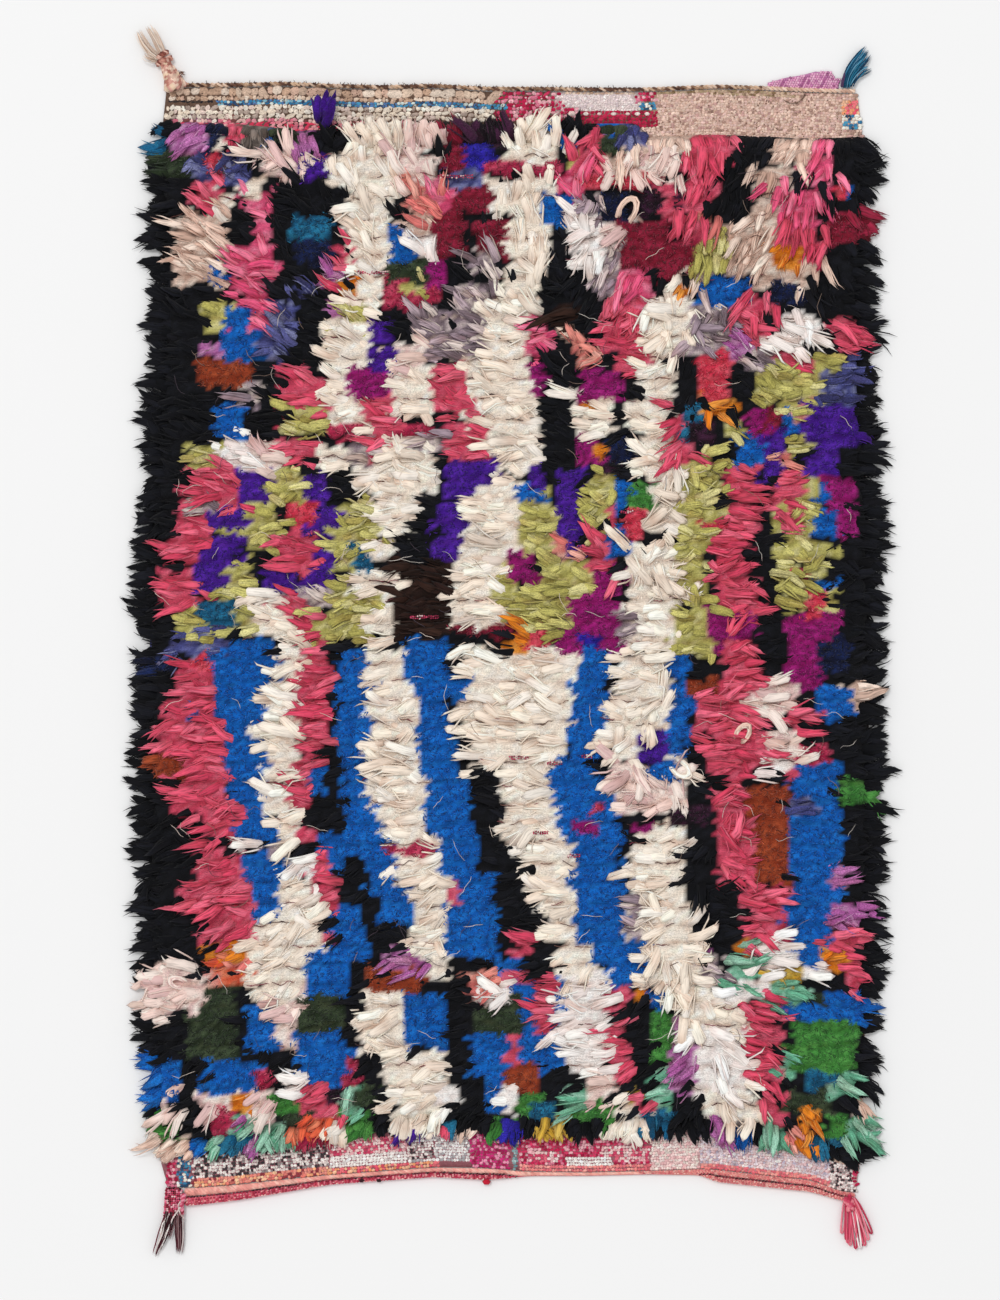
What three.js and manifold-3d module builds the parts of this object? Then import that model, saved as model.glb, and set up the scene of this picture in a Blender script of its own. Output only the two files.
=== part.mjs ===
// A hand-knotted shag rug with flat-woven ends, lying open on the floor with its pile up.
// Units are millimetres: +X across the rug, +Y along it to the twined end, +Z up from the floor.
// The origin is on the underside, at the middle of the woven cloth.

import * as THREE from 'three';
import Module from 'manifold-3d';

const wasm = await Module();
wasm.setup();

// ---- Driving dimensions -------------------------------------------------------------------

const CLOTH_THICKNESS = 5;      // flat-woven ends
const PILE_TOP = 26;            // mean height of the lying pile above the floor
const TUFT_TIP = 5;             // height of the last tufts where they spill over a side
const ROW_COUNT = 58;           // sections along the rug, one for each knotted row
const SIDE_RAGGEDNESS = 9;      // how far neighbouring rows differ at the sides
const PILE_UNEVENNESS = 3.2;    // swell and dip of the pile from place to place
const PILE_EDGE = 20;           // distance over which the pile rises from a woven end
const UPPER_BAND = 46;          // depth of the bare woven end, at the left of the twined end
const UPPER_BAND_WIDE = 68;     // the same, at the right, where the plain cloth is deeper
const BAND_WIDENS_AT = 195;     // place across the rug where the upper band deepens
const BAND_WIDENS_OVER = 40;
const LOWER_BAND = 33;          // depth of the bare woven end at the bound end
const GAP = 0.3;                // clearance between neighbouring pieces

const TOP_CORD_WIDTH = 7;
const TOP_CORD_HEIGHT = 7;
const BINDING_HEIGHT = 8;
const FLAP_THICKNESS = 4;

// The two ends of the cloth. across: place on the rug's width. twined: line of the twined
// end's outer edge. bound: line where the cloth stops at the bound end. binding: width of the
// rolled binding there, which thins out in the middle.
const ENDS = [
  { across: -461, twined: 748, bound: -731, binding: 26 },
  { across: -429, twined: 748, bound: -731, binding: 26 },
  { across: -370, twined: 748, bound: -727, binding: 23 },
  { across: -306, twined: 750, bound: -720, binding: 19 },
  { across: -244, twined: 747, bound: -714, binding: 14 },
  { across: -175, twined: 745, bound: -709, binding: 14 },
  { across: -105, twined: 747, bound: -704, binding: 14 },
  { across: -35, twined: 743, bound: -705, binding: 17 },
  { across: 25, twined: 743, bound: -710, binding: 6 },
  { across: 100, twined: 742, bound: -711, binding: 5 },
  { across: 180, twined: 742, bound: -709, binding: 5 },
  { across: 252, twined: 745, bound: -706, binding: 9 },
  { across: 275, twined: 746, bound: -707, binding: 18 },
  { across: 335, twined: 744, bound: -714, binding: 17 },
  { across: 400, twined: 741, bound: -721, binding: 17 },
  { across: 440, twined: 740, bound: -736, binding: 13 },
  { across: 461, twined: 740, bound: -738, binding: 12 },
];

// The two sides. down: distance from the twined end. left, right: how far the tufts reach
// from the middle line of the rug.
const SIDES = [
  { down: 0, left: 461, right: 461 },
  { down: 45, left: 474, right: 466 },
  { down: 85, left: 495, right: 493 },
  { down: 150, left: 491, right: 498 },
  { down: 235, left: 486, right: 503 },
  { down: 290, left: 486, right: 470 },
  { down: 350, left: 468, right: 468 },
  { down: 440, left: 480, right: 470 },
  { down: 510, left: 486, right: 472 },
  { down: 560, left: 508, right: 492 },
  { down: 645, left: 509, right: 480 },
  { down: 690, left: 497, right: 495 },
  { down: 780, left: 511, right: 489 },
  { down: 860, left: 505, right: 496 },
  { down: 975, left: 493, right: 485 },
  { down: 1060, left: 511, right: 485 },
  { down: 1150, left: 496, right: 490 },
  { down: 1240, left: 489, right: 480 },
  { down: 1340, left: 506, right: 495 },
  { down: 1420, left: 498, right: 488 },
  { down: 1450, left: 474, right: 472 },
  { down: 1479, left: 461, right: 461 },
];

// The knitted flap that is sewn behind the twined end. reach: how far it stands out.
const FLAP = [
  { across: 342, reach: 4 },
  { across: 367, reach: 12 },
  { across: 387, reach: 16 },
  { across: 407, reach: 22 },
  { across: 419, reach: 21 },
  { across: 428, reach: 13 },
  { across: 438, reach: 11 },
];

// Tassels: each bunch is a list of sections along its run. x, y: middle. width, height: size.
const TASSELS = {
  tassel_twined_left: [
    [
      { x: -459, y: 748.3, width: 20, height: 9 },
      { x: -459, y: 756, width: 19, height: 11 },
      { x: -463, y: 768, width: 18, height: 12 },
      { x: -467, y: 778, width: 23, height: 15 },
      { x: -471, y: 788, width: 19, height: 13 },
      { x: -474, y: 794, width: 14, height: 9 },
    ],
    [
      { x: -468, y: 782, width: 13, height: 9 },
      { x: -476, y: 798, width: 15, height: 9 },
      { x: -483, y: 811, width: 11, height: 7 },
      { x: -490, y: 825, width: 5, height: 4 },
    ],
    [
      { x: -468, y: 780, width: 13, height: 9 },
      { x: -484, y: 793, width: 15, height: 8 },
      { x: -494, y: 804, width: 11, height: 7 },
      { x: -501, y: 816, width: 5, height: 4 },
    ],
  ],
  tassel_twined_right: [
    [
      { x: 447, y: 740.3, width: 13, height: 8 },
      { x: 447, y: 748, width: 13, height: 9 },
      { x: 450, y: 760, width: 16, height: 10 },
      { x: 457, y: 772, width: 20, height: 10 },
      { x: 466, y: 784, width: 18, height: 8 },
      { x: 477, y: 797, width: 8, height: 4 },
    ],
    [
      { x: 453, y: 763, width: 12, height: 8 },
      { x: 466, y: 768, width: 15, height: 7 },
      { x: 482, y: 769, width: 8, height: 4 },
    ],
  ],
  tassel_bound_left: [
    [
      { x: -445, y: -731.3, width: 31, height: 8 },
      { x: -445, y: -745, width: 31, height: 9 },
      { x: -446, y: -760, width: 30, height: 9 },
      { x: -447, y: -773, width: 27, height: 11 },
      { x: -449, y: -782, width: 24, height: 10 },
    ],
    [
      { x: -449, y: -776, width: 17, height: 9 },
      { x: -460, y: -790, width: 18, height: 9 },
      { x: -469, y: -806, width: 14, height: 8 },
      { x: -478, y: -828, width: 9, height: 6 },
    ],
    [
      { x: -444, y: -776, width: 15, height: 9 },
      { x: -442, y: -790, width: 15, height: 9 },
      { x: -444, y: -806, width: 14, height: 7 },
      { x: -446, y: -827, width: 7, height: 4 },
    ],
  ],
  tassel_bound_right: [
    [
      { x: 456, y: -751, width: 13, height: 9 },
      { x: 457, y: -758, width: 14, height: 10 },
      { x: 458, y: -770, width: 20, height: 11 },
      { x: 460, y: -785, width: 27, height: 11 },
      { x: 461, y: -800, width: 24, height: 10 },
      { x: 461, y: -813, width: 12, height: 7 },
    ],
    [
      { x: 461, y: -772, width: 15, height: 9 },
      { x: 470, y: -784, width: 17, height: 9 },
      { x: 478, y: -796, width: 12, height: 7 },
    ],
  ],
};

const COLOURS = {
  rug: 0x3a3340,
  twined_cord: 0xa08670,
  bound_edge: 0xcf6a72,
  knitted_flap: 0xc477a8,
  tassel_twined_left: 0xc9a48c,
  tassel_twined_right: 0x27718c,
  tassel_bound_left: 0x7d4a55,
  tassel_bound_right: 0xd0606a,
};
const WOOL_ROUGHNESS = 0.95;

// ---- Helpers ------------------------------------------------------------------------------

// Straight-line reading of one column of a table, sorted on its key column.
function read(table, key, column, place) {
  const last = table.length - 1;
  const inside = THREE.MathUtils.clamp(place, table[0][key], table[last][key]);
  const next = Math.max(1, table.findIndex((row) => row[key] >= inside));
  const before = table[next - 1];
  const share = (inside - before[key]) / (table[next][key] - before[key]);
  return THREE.MathUtils.lerp(before[column], table[next][column], share);
}

// A repeatable uneven number from -1 to 1 for each whole number.
function uneven(seed) {
  const wave = Math.sin(seed * 12.9898) * 43758.5453;
  return 2 * (wave - Math.floor(wave)) - 1;
}

// A closed skin through rings of points. Seen along the run, each ring goes over the top from
// left to right and comes back underneath with as many points.
function loft(rings) {
  const size = rings[0].length;
  const end = (rings.length - 1) * size;
  const index = [];
  const quad = (a, b, c, d) => index.push(a, b, c, a, c, d);
  for (let start = 0; start < end; start += size) {
    for (let j = 0; j < size; j += 1) {
      const next = (j + 1) % size;
      quad(start + j, start + next, start + size + next, start + size + j);
    }
  }
  for (let j = 0; j + 1 < size / 2; j += 1) {
    const under = size - 1 - j;
    quad(j, under, under - 1, j + 1);
    quad(end + j, end + j + 1, end + under - 1, end + under);
  }
  const geometry = new THREE.BufferGeometry();
  geometry.setAttribute('position', new THREE.Float32BufferAttribute(rings.flat(2), 3));
  geometry.setIndex(index);
  return geometry;
}

function toManifold(geometry) {
  return new wasm.Manifold(new wasm.Mesh({
    numProp: 3,
    vertProperties: new Float32Array(geometry.getAttribute('position').array),
    triVerts: new Uint32Array(geometry.getIndex().array),
  }));
}

function join(geometries) {
  const solid = geometries.map(toManifold).reduce((whole, piece) => whole.add(piece));
  const mesh = solid.getMesh();
  const geometry = new THREE.BufferGeometry();
  geometry.setAttribute('position', new THREE.BufferAttribute(mesh.vertProperties, 3));
  geometry.setIndex(new THREE.BufferAttribute(mesh.triVerts, 1));
  return geometry;
}

// ---- The rug: woven cloth and knotted pile in one -----------------------------------------

const twinedEnd = (x) => read(ENDS, 'across', 'twined', x) - TOP_CORD_WIDTH - GAP;
const boundEnd = (x) => read(ENDS, 'across', 'bound', x);

function surfaceHeight(x, y) {
  const fromTwined = twinedEnd(x) - y;
  const fromBound = y - boundEnd(x);
  const widening = THREE.MathUtils.smoothstep(x - BAND_WIDENS_AT, 0, BAND_WIDENS_OVER);
  const band = THREE.MathUtils.lerp(UPPER_BAND, UPPER_BAND_WIDE, widening);
  const rise = THREE.MathUtils.smoothstep(fromTwined - band, -PILE_EDGE / 2, PILE_EDGE)
    * THREE.MathUtils.smoothstep(fromBound - LOWER_BAND, -PILE_EDGE / 2, PILE_EDGE);
  const swell = Math.sin(x / 43 + 1.4 * Math.sin(y / 95)) + 0.8 * Math.sin(y / 37 + x / 71);
  return CLOTH_THICKNESS + rise * (PILE_TOP - CLOTH_THICKNESS + PILE_UNEVENNESS * swell);
}

function rug() {
  const fixed = ENDS.slice(1, -1).map((row) => row.across);
  const rings = [];
  for (let row = 0; row <= ROW_COUNT; row += 1) {
    const share = row / ROW_COUNT;
    const down = share * SIDES[SIDES.length - 1].down;
    const pinched = Math.min(1, 6 * share, 6 * (1 - share));
    const ragged = SIDE_RAGGEDNESS * pinched;
    const left = -read(SIDES, 'down', 'left', down) - ragged * uneven(row);
    const right = read(SIDES, 'down', 'right', down) + ragged * uneven(row + 0.5);
    const shoulder = (tip, inner, part) => THREE.MathUtils.lerp(tip, inner, part);
    const columns = [
      left,
      shoulder(left, fixed[0], 0.22),
      shoulder(left, fixed[0], 0.58),
      ...fixed,
      shoulder(right, fixed[fixed.length - 1], 0.58),
      shoulder(right, fixed[fixed.length - 1], 0.22),
      right,
    ];
    const over = columns.map((x, column) => {
      const y = THREE.MathUtils.lerp(twinedEnd(x), boundEnd(x), share);
      const inset = Math.min(column, columns.length - 1 - column);
      const full = surfaceHeight(x, y);
      const z = [TUFT_TIP, 0.62 * full + 0.38 * TUFT_TIP, full][Math.min(inset, 2)];
      return [x, y, z];
    });
    const under = over.map(([x, y]) => [x, y, 0]);
    rings.push([...over.reverse(), ...under]);
  }
  return loft(rings);
}

// ---- Edges that run across the rug --------------------------------------------------------

// A low rounded strip between an inner and an outer line, from left to right.
function edgeStrip(places, upperLine, lowerLine, height) {
  return loft(places.map((x) => {
    const upper = upperLine(x);
    const lower = lowerLine(x);
    const line = (part) => THREE.MathUtils.lerp(upper, lower, part);
    return [
      [x, upper, 0.5 * height],
      [x, line(0.25), 0.93 * height],
      [x, line(0.75), 0.93 * height],
      [x, lower, 0.5 * height],
      [x, lower, 0],
      [x, line(0.75), 0],
      [x, line(0.25), 0],
      [x, upper, 0],
    ];
  }));
}

function placesBetween(from, to) {
  const inside = ENDS.map((row) => row.across).filter((x) => x > from && x < to);
  return [from, ...inside, to];
}

function twinedCord() {
  const outer = (x) => read(ENDS, 'across', 'twined', x) - GAP;
  const inner = (x) => twinedEnd(x) + GAP;
  return edgeStrip(placesBetween(-461, 461), outer, inner, TOP_CORD_HEIGHT);
}

function boundEdge() {
  const tab = TASSELS.tassel_bound_left[0][0];
  const from = tab.x + tab.width / 2 + GAP;
  const inner = (x) => boundEnd(x) - GAP;
  const outer = (x) => inner(x) - read(ENDS, 'across', 'binding', x);
  return edgeStrip(placesBetween(from, 461), inner, outer, BINDING_HEIGHT);
}

function knittedFlap() {
  const hem = (x) => read(ENDS, 'across', 'twined', x);
  const free = (x) => hem(x) + read(FLAP, 'across', 'reach', x);
  return edgeStrip(FLAP.map((row) => row.across), free, hem, FLAP_THICKNESS);
}

// ---- Tassels ------------------------------------------------------------------------------

// Half-round bunch that lies on the floor along its sections.
function bunch(sections) {
  const points = sections.map((section) => new THREE.Vector2(section.x, section.y));
  const sweep = [160, 115, 65, 20].map(THREE.MathUtils.degToRad);
  return loft(sections.map((section, i) => {
    const before = i === 1 ? points[0] : points[Math.max(0, i - 1)];
    const after = points[Math.min(points.length - 1, i + 1)];
    const along = after.clone().sub(before).normalize();
    const place = (angle, height) => {
      const side = 0.5 * section.width * Math.cos(angle);
      return [section.x + along.y * side, section.y - along.x * side, height];
    };
    const over = sweep.map((angle) => place(angle, section.height * Math.sin(angle)));
    const under = sweep.map((angle) => place(angle, 0)).reverse();
    return [...over, ...under];
  }));
}

// ---- Assembly -----------------------------------------------------------------------------

const group = new THREE.Group();

function add(name, geometry) {
  geometry.computeVertexNormals();
  const material = new THREE.MeshStandardMaterial({
    color: COLOURS[name],
    roughness: WOOL_ROUGHNESS,
    metalness: 0,
  });
  const mesh = new THREE.Mesh(geometry, material);
  mesh.name = name;
  group.add(mesh);
}

add('rug', rug());
add('twined_cord', twinedCord());
add('bound_edge', boundEdge());
add('knitted_flap', knittedFlap());
for (const [name, bunches] of Object.entries(TASSELS)) {
  add(name, join(bunches.map(bunch)));
}

export default group;
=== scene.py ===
"""Looks of a hand-knotted shag rug that lies open on the floor, seen from above.

Lengths are metres in the frame's axes: +X across the rug, +Y along it to the twined end, +Z up.
Tables that describe the cloth are in centimetres, and yarn sizes are in millimetres.
"""

import math

import bpy
import numpy as np
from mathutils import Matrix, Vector


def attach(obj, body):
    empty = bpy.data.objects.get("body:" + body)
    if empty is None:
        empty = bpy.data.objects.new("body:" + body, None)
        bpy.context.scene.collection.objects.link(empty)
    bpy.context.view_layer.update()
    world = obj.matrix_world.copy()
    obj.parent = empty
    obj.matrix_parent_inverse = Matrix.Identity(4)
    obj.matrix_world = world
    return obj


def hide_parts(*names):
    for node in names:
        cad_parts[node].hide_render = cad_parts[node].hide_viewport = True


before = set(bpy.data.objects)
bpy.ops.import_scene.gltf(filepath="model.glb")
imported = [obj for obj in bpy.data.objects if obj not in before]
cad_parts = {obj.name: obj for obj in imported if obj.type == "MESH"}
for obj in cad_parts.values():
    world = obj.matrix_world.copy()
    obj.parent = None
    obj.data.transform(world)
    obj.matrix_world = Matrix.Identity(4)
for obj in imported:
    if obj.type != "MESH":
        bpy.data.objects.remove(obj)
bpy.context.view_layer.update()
CM = 0.01
MM = 0.001
random = np.random.default_rng(58)


# ---- Camera, floor and light ----------------------------------------------------------------

VIEW_HEIGHT = 6.0            # camera above the floor
VIEW_LONG_SIDE = 1.742       # what the long side of the picture takes in at the floor
VIEW_CENTRE = (-0.016, -0.012)
BACKGROUND = (0.905, 0.905, 0.905, 1.0)
SKY_STRENGTH = 0.72
LAMP_PLACE = (-4.8, 6.6, 18.4)
LAMP_SIZE = 5.0
LAMP_WATTS = 1310.0
FLOOR_SIZE = 24.0
FLOOR_DROP = 0.4 * MM        # how far the floor is below the rug


def make_camera():
    camera = bpy.data.objects.new("camera", bpy.data.cameras.new("camera"))
    bpy.context.scene.collection.objects.link(camera)
    camera.location = (*VIEW_CENTRE, VIEW_HEIGHT)
    camera.data.sensor_width = 36.0
    camera.data.lens = camera.data.sensor_width * VIEW_HEIGHT / VIEW_LONG_SIDE
    bpy.context.scene.camera = camera
    bpy.context.scene.view_settings.view_transform = "Standard"


def seen_directly(nodes, links):
    """1 for what the camera, a mirror or glass sees, and 0 for what lights the object."""
    path = nodes.new("ShaderNodeLightPath")
    total = path.outputs["Is Camera Ray"]
    for name in ("Is Glossy Ray", "Is Transmission Ray"):
        step = nodes.new("ShaderNodeMath")
        step.operation = "ADD"
        step.use_clamp = True
        links.new(total, step.inputs[0])
        links.new(path.outputs[name], step.inputs[1])
        total = step.outputs[0]
    return total


def make_world():
    world = bpy.data.worlds.new("studio")
    bpy.context.scene.world = world
    world.use_nodes = True
    nodes, links = world.node_tree.nodes, world.node_tree.links
    light = nodes["Background"]
    light.inputs["Color"].default_value = (1.0, 1.0, 1.0, 1.0)
    light.inputs["Strength"].default_value = SKY_STRENGTH
    shown = nodes.new("ShaderNodeBackground")
    shown.inputs["Color"].default_value = BACKGROUND
    mix = nodes.new("ShaderNodeMixShader")
    links.new(seen_directly(nodes, links), mix.inputs[0])
    links.new(light.outputs[0], mix.inputs[1])
    links.new(shown.outputs[0], mix.inputs[2])
    links.new(mix.outputs[0], nodes["World Output"].inputs["Surface"])


def make_lamp(name, place, size, watts):
    lamp = bpy.data.objects.new(name, bpy.data.lights.new(name, "AREA"))
    lamp.data.size = size
    lamp.data.energy = watts
    lamp.location = place
    lamp.rotation_euler = (-Vector(place)).to_track_quat("-Z", "Y").to_euler()
    bpy.context.scene.collection.objects.link(lamp)


def make_floor():
    bpy.ops.mesh.primitive_plane_add(size=FLOOR_SIZE, location=(0, 0, -FLOOR_DROP))
    floor = bpy.context.active_object
    floor.name = "floor"
    material = bpy.data.materials.new("floor")
    material.use_nodes = True
    surface = material.node_tree.nodes["Principled BSDF"]
    surface.inputs["Base Color"].default_value = BACKGROUND
    surface.inputs["Roughness"].default_value = 1.0
    surface.inputs["Specular IOR Level"].default_value = 0.0
    floor.data.materials.append(material)


make_camera()
make_world()
make_lamp("key", LAMP_PLACE, LAMP_SIZE, LAMP_WATTS)
make_floor()


# ---- Yarns ----------------------------------------------------------------------------------

def linear(code):
    """A colour written as RRGGBB, as the linear numbers that the shaders take."""
    parts = np.array([int(code[i:i + 2], 16) for i in (0, 2, 4)]) / 255
    return np.where(parts <= 0.04045, parts / 12.92, ((parts + 0.055) / 1.055) ** 2.4)


def hand(**own):
    """How a knot's lock of wool lies: what is usual, with a yarn's own values in its place."""
    usual = dict(
        strands=4,                             # loose strands on the body
        facets=5,                              # sides of the body
        width=2.8,                             # of a strand, in millimetres
        body=12.5,                             # width of the part that keeps together, in millimetres
        spread=5.2,                            # half the lock's width, in millimetres
        length=50,                             # in millimetres
        depth=16.5,                            # of the dense wool at its foot, in millimetres
        bend=16,                               # how far the lock wanders, in degrees
        curl=7,                                # how far a strand strays from the lock, in degrees
        lift=1.0,                              # how high it stands, as a share
        stretches=(0.24, 0.27, 0.29, 0.2),     # shares of the length, from root to tip
        climb=(56, 30, 6, -8),                 # how steeply each stretch rises, in degrees
        profile=(0.5, 1.0, 1.0, 0.85, 0.4),    # how far the strands spread, from root to tip
        swell=(0.65, 1.0, 0.9, 0.5),           # how thick the body is
        taper=(0.9, 1.0, 0.95, 0.7),           # how thick the strands are
        root=(0.7, 0.88, 0.98, 1.02, 1.04),    # how light the yarn is made from root to tip: painted shade darkens it towards the root, and the tip is a little lighter
    )
    return {**usual, **own}


HANDS = {
    "smooth": hand(stretches=(0.25, 0.28, 0.31, 0.16), profile=(0.5, 1.0, 0.97, 0.78, 0.34)),
    "silky": hand(strands=3, width=3.0, spread=6.0, depth=15.5, curl=10, profile=(0.5, 1.0, 1.0, 0.8, 0.4)),
    "mixed": hand(length=44, spread=5.4, body=11.5, depth=16, bend=20, curl=10,
                  stretches=(0.26, 0.28, 0.3, 0.16), climb=(58, 30, 6, -8), swell=(0.7, 1.0, 0.95, 0.6),
                  root=(0.66, 0.86, 0.98, 1.02, 1.04)),
    "bumpy": hand(strands=3, facets=6, width=3.8, length=42, spread=4.6, depth=17, bend=20, curl=12,
                  stretches=(0.28, 0.3, 0.3, 0.12), climb=(60, 28, 2, -14), profile=(0.6, 1.0, 1.0, 0.9, 0.6),
                  swell=(0.7, 1.0, 1.0, 0.74), taper=(0.9, 1.0, 1.0, 0.85),
                  root=(0.74, 0.88, 0.98, 1.02, 1.04)),
    "roving": hand(strands=5, facets=6, width=2.9, spread=5.6, body=13.5, depth=20, bend=20, curl=12,
                   lift=1.03, stretches=(0.25, 0.29, 0.31, 0.15), climb=(58, 24, 0, -30),
                   profile=(0.6, 1.0, 1.0, 0.96, 0.7), swell=(0.7, 1.0, 1.0, 0.86),
                   taper=(0.9, 1.0, 1.0, 0.95), root=(0.86, 0.95, 1.0, 1.03, 1.03)),
    "rim": hand(strands=6, facets=6, width=2.5, length=45, spread=6.8, body=13.5, depth=14, bend=17, curl=9,
                stretches=(0.24, 0.28, 0.28, 0.2), climb=(52, 24, 0, -12),
                profile=(0.6, 1.0, 0.95, 0.7, 0.32), swell=(0.8, 1.0, 0.92, 0.6),
                root=(0.7, 0.9, 1.0, 1.0, 1.0)),
    "felted": hand(depth=19.5),
}
FUZZ_PITCH = 4.0 * MM        # between the short fibres that stand on felted wool

# Each yarn: the piece that its tufts are joined in, its hand, and its colours.
YARNS = {
    "cream": ("pile_cream", "roving", ["FEF2E3", "FCEDDC", "FFF6EB", "FAE9D7"]),
    "white": ("pile_cream", "roving", ["FFF5EF", "FAEDE8", "FFF9F5"]),
    "blush": ("pile_cream", "roving", ["F8E0D6", "F2D4CA", "FCECE2", "E4C0BC"]),
    "black": ("pile_black", "silky", ["111218", "0D0E13", "16171E", "0A0B10"]),
    "navy": ("pile_blue", "felted", ["141C3E", "10142A", "1C2A58"]),
    "brown": ("pile_black", "silky", ["2C1A16", "23140F", "38241D"]),
    "plum": ("pile_purple", "felted", ["2E1626", "1A0F18", "45203C"]),
    "blue": ("pile_blue", "felted", ["0E6AC8", "0C60BC", "1A76D2", "0A58B0"]),
    "teal": ("pile_blue", "felted", ["1B6690", "155478", "2A7FA6"]),
    "ultramarine": ("pile_blue", "felted", ["2A22A8", "221C8C", "3A30C0"]),
    "periwinkle": ("pile_blue", "mixed", ["666AAA", "4E5290", "868AB8", "3C3E70"]),
    "coral": ("pile_pink", "smooth", ["EE5E7A", "E4526E", "F26E88", "DA4664"]),
    "pink": ("pile_pink", "smooth", ["F4628C", "E8527E", "FF86A6"]),
    "salmon": ("pile_pink", "mixed", ["F49A8C", "EC827C", "F8B6A6"]),
    "red": ("pile_pink", "felted", ["DC4056", "CC304A", "E65A6C"]),
    "rose": ("pile_pink", "felted", ["B82C50", "A02044", "CC4A68"]),
    "maroon": ("pile_pink", "felted", ["861A32", "701428", "9A2440"]),
    "purple": ("pile_purple", "felted", ["4A1C98", "401486", "5A28AC"]),
    "purple_tail": ("pile_purple", "bumpy", ["4A1C98", "401486", "5A28AC"]),
    "magenta": ("pile_purple", "felted", ["9C1872", "8A1264", "AE2682"]),
    "orchid": ("pile_purple", "smooth", ["CC7CBC", "BC66AC", "DA9ACC"]),
    "lime": ("pile_green", "bumpy", ["D6CE7C", "CAC26E", "E0D896", "B6AE5E"]),
    "green": ("pile_green", "felted", ["468C3E", "3A7A34", "569C4A"]),
    "dark_green": ("pile_green", "felted", ["323F2C", "26321F", "424F38"]),
    "mint": ("pile_green", "smooth", ["86CCAA", "70BA98", "A8DCC2"]),
    "orange": ("pile_warm", "mixed", ["EE8C26", "E67C1C", "F4A044"]),
    "flame": ("pile_warm", "mixed", ["EC6A48", "E25A3C", "F08A68"]),
    "yellow": ("pile_warm", "mixed", ["D8B044", "C89C34", "E2C060"]),
    "rust": ("pile_warm", "felted", ["9A4024", "8A361E", "AA4E2E"]),
    "beige": ("pile_mixed", "smooth", ["FADCCA", "F0CEBC", "FFE8D8", "DEBCAA"]),
    "mauve": ("pile_mixed", "mixed", ["C0AAB2", "A894A0", "DCCAC8", "E6D6CE", "86747C"]),
    "grey": ("pile_mixed", "mixed", ["7C7068", "5E544E", "988C84"]),
}
GROUND_YARN = "black"
FELTED_YARNS = [name for name, (_, hand, _) in YARNS.items() if hand == "felted"]
LOOSE_YARNS = [name for name in YARNS if name not in (*FELTED_YARNS, "black", "brown", "purple_tail")]

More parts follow.
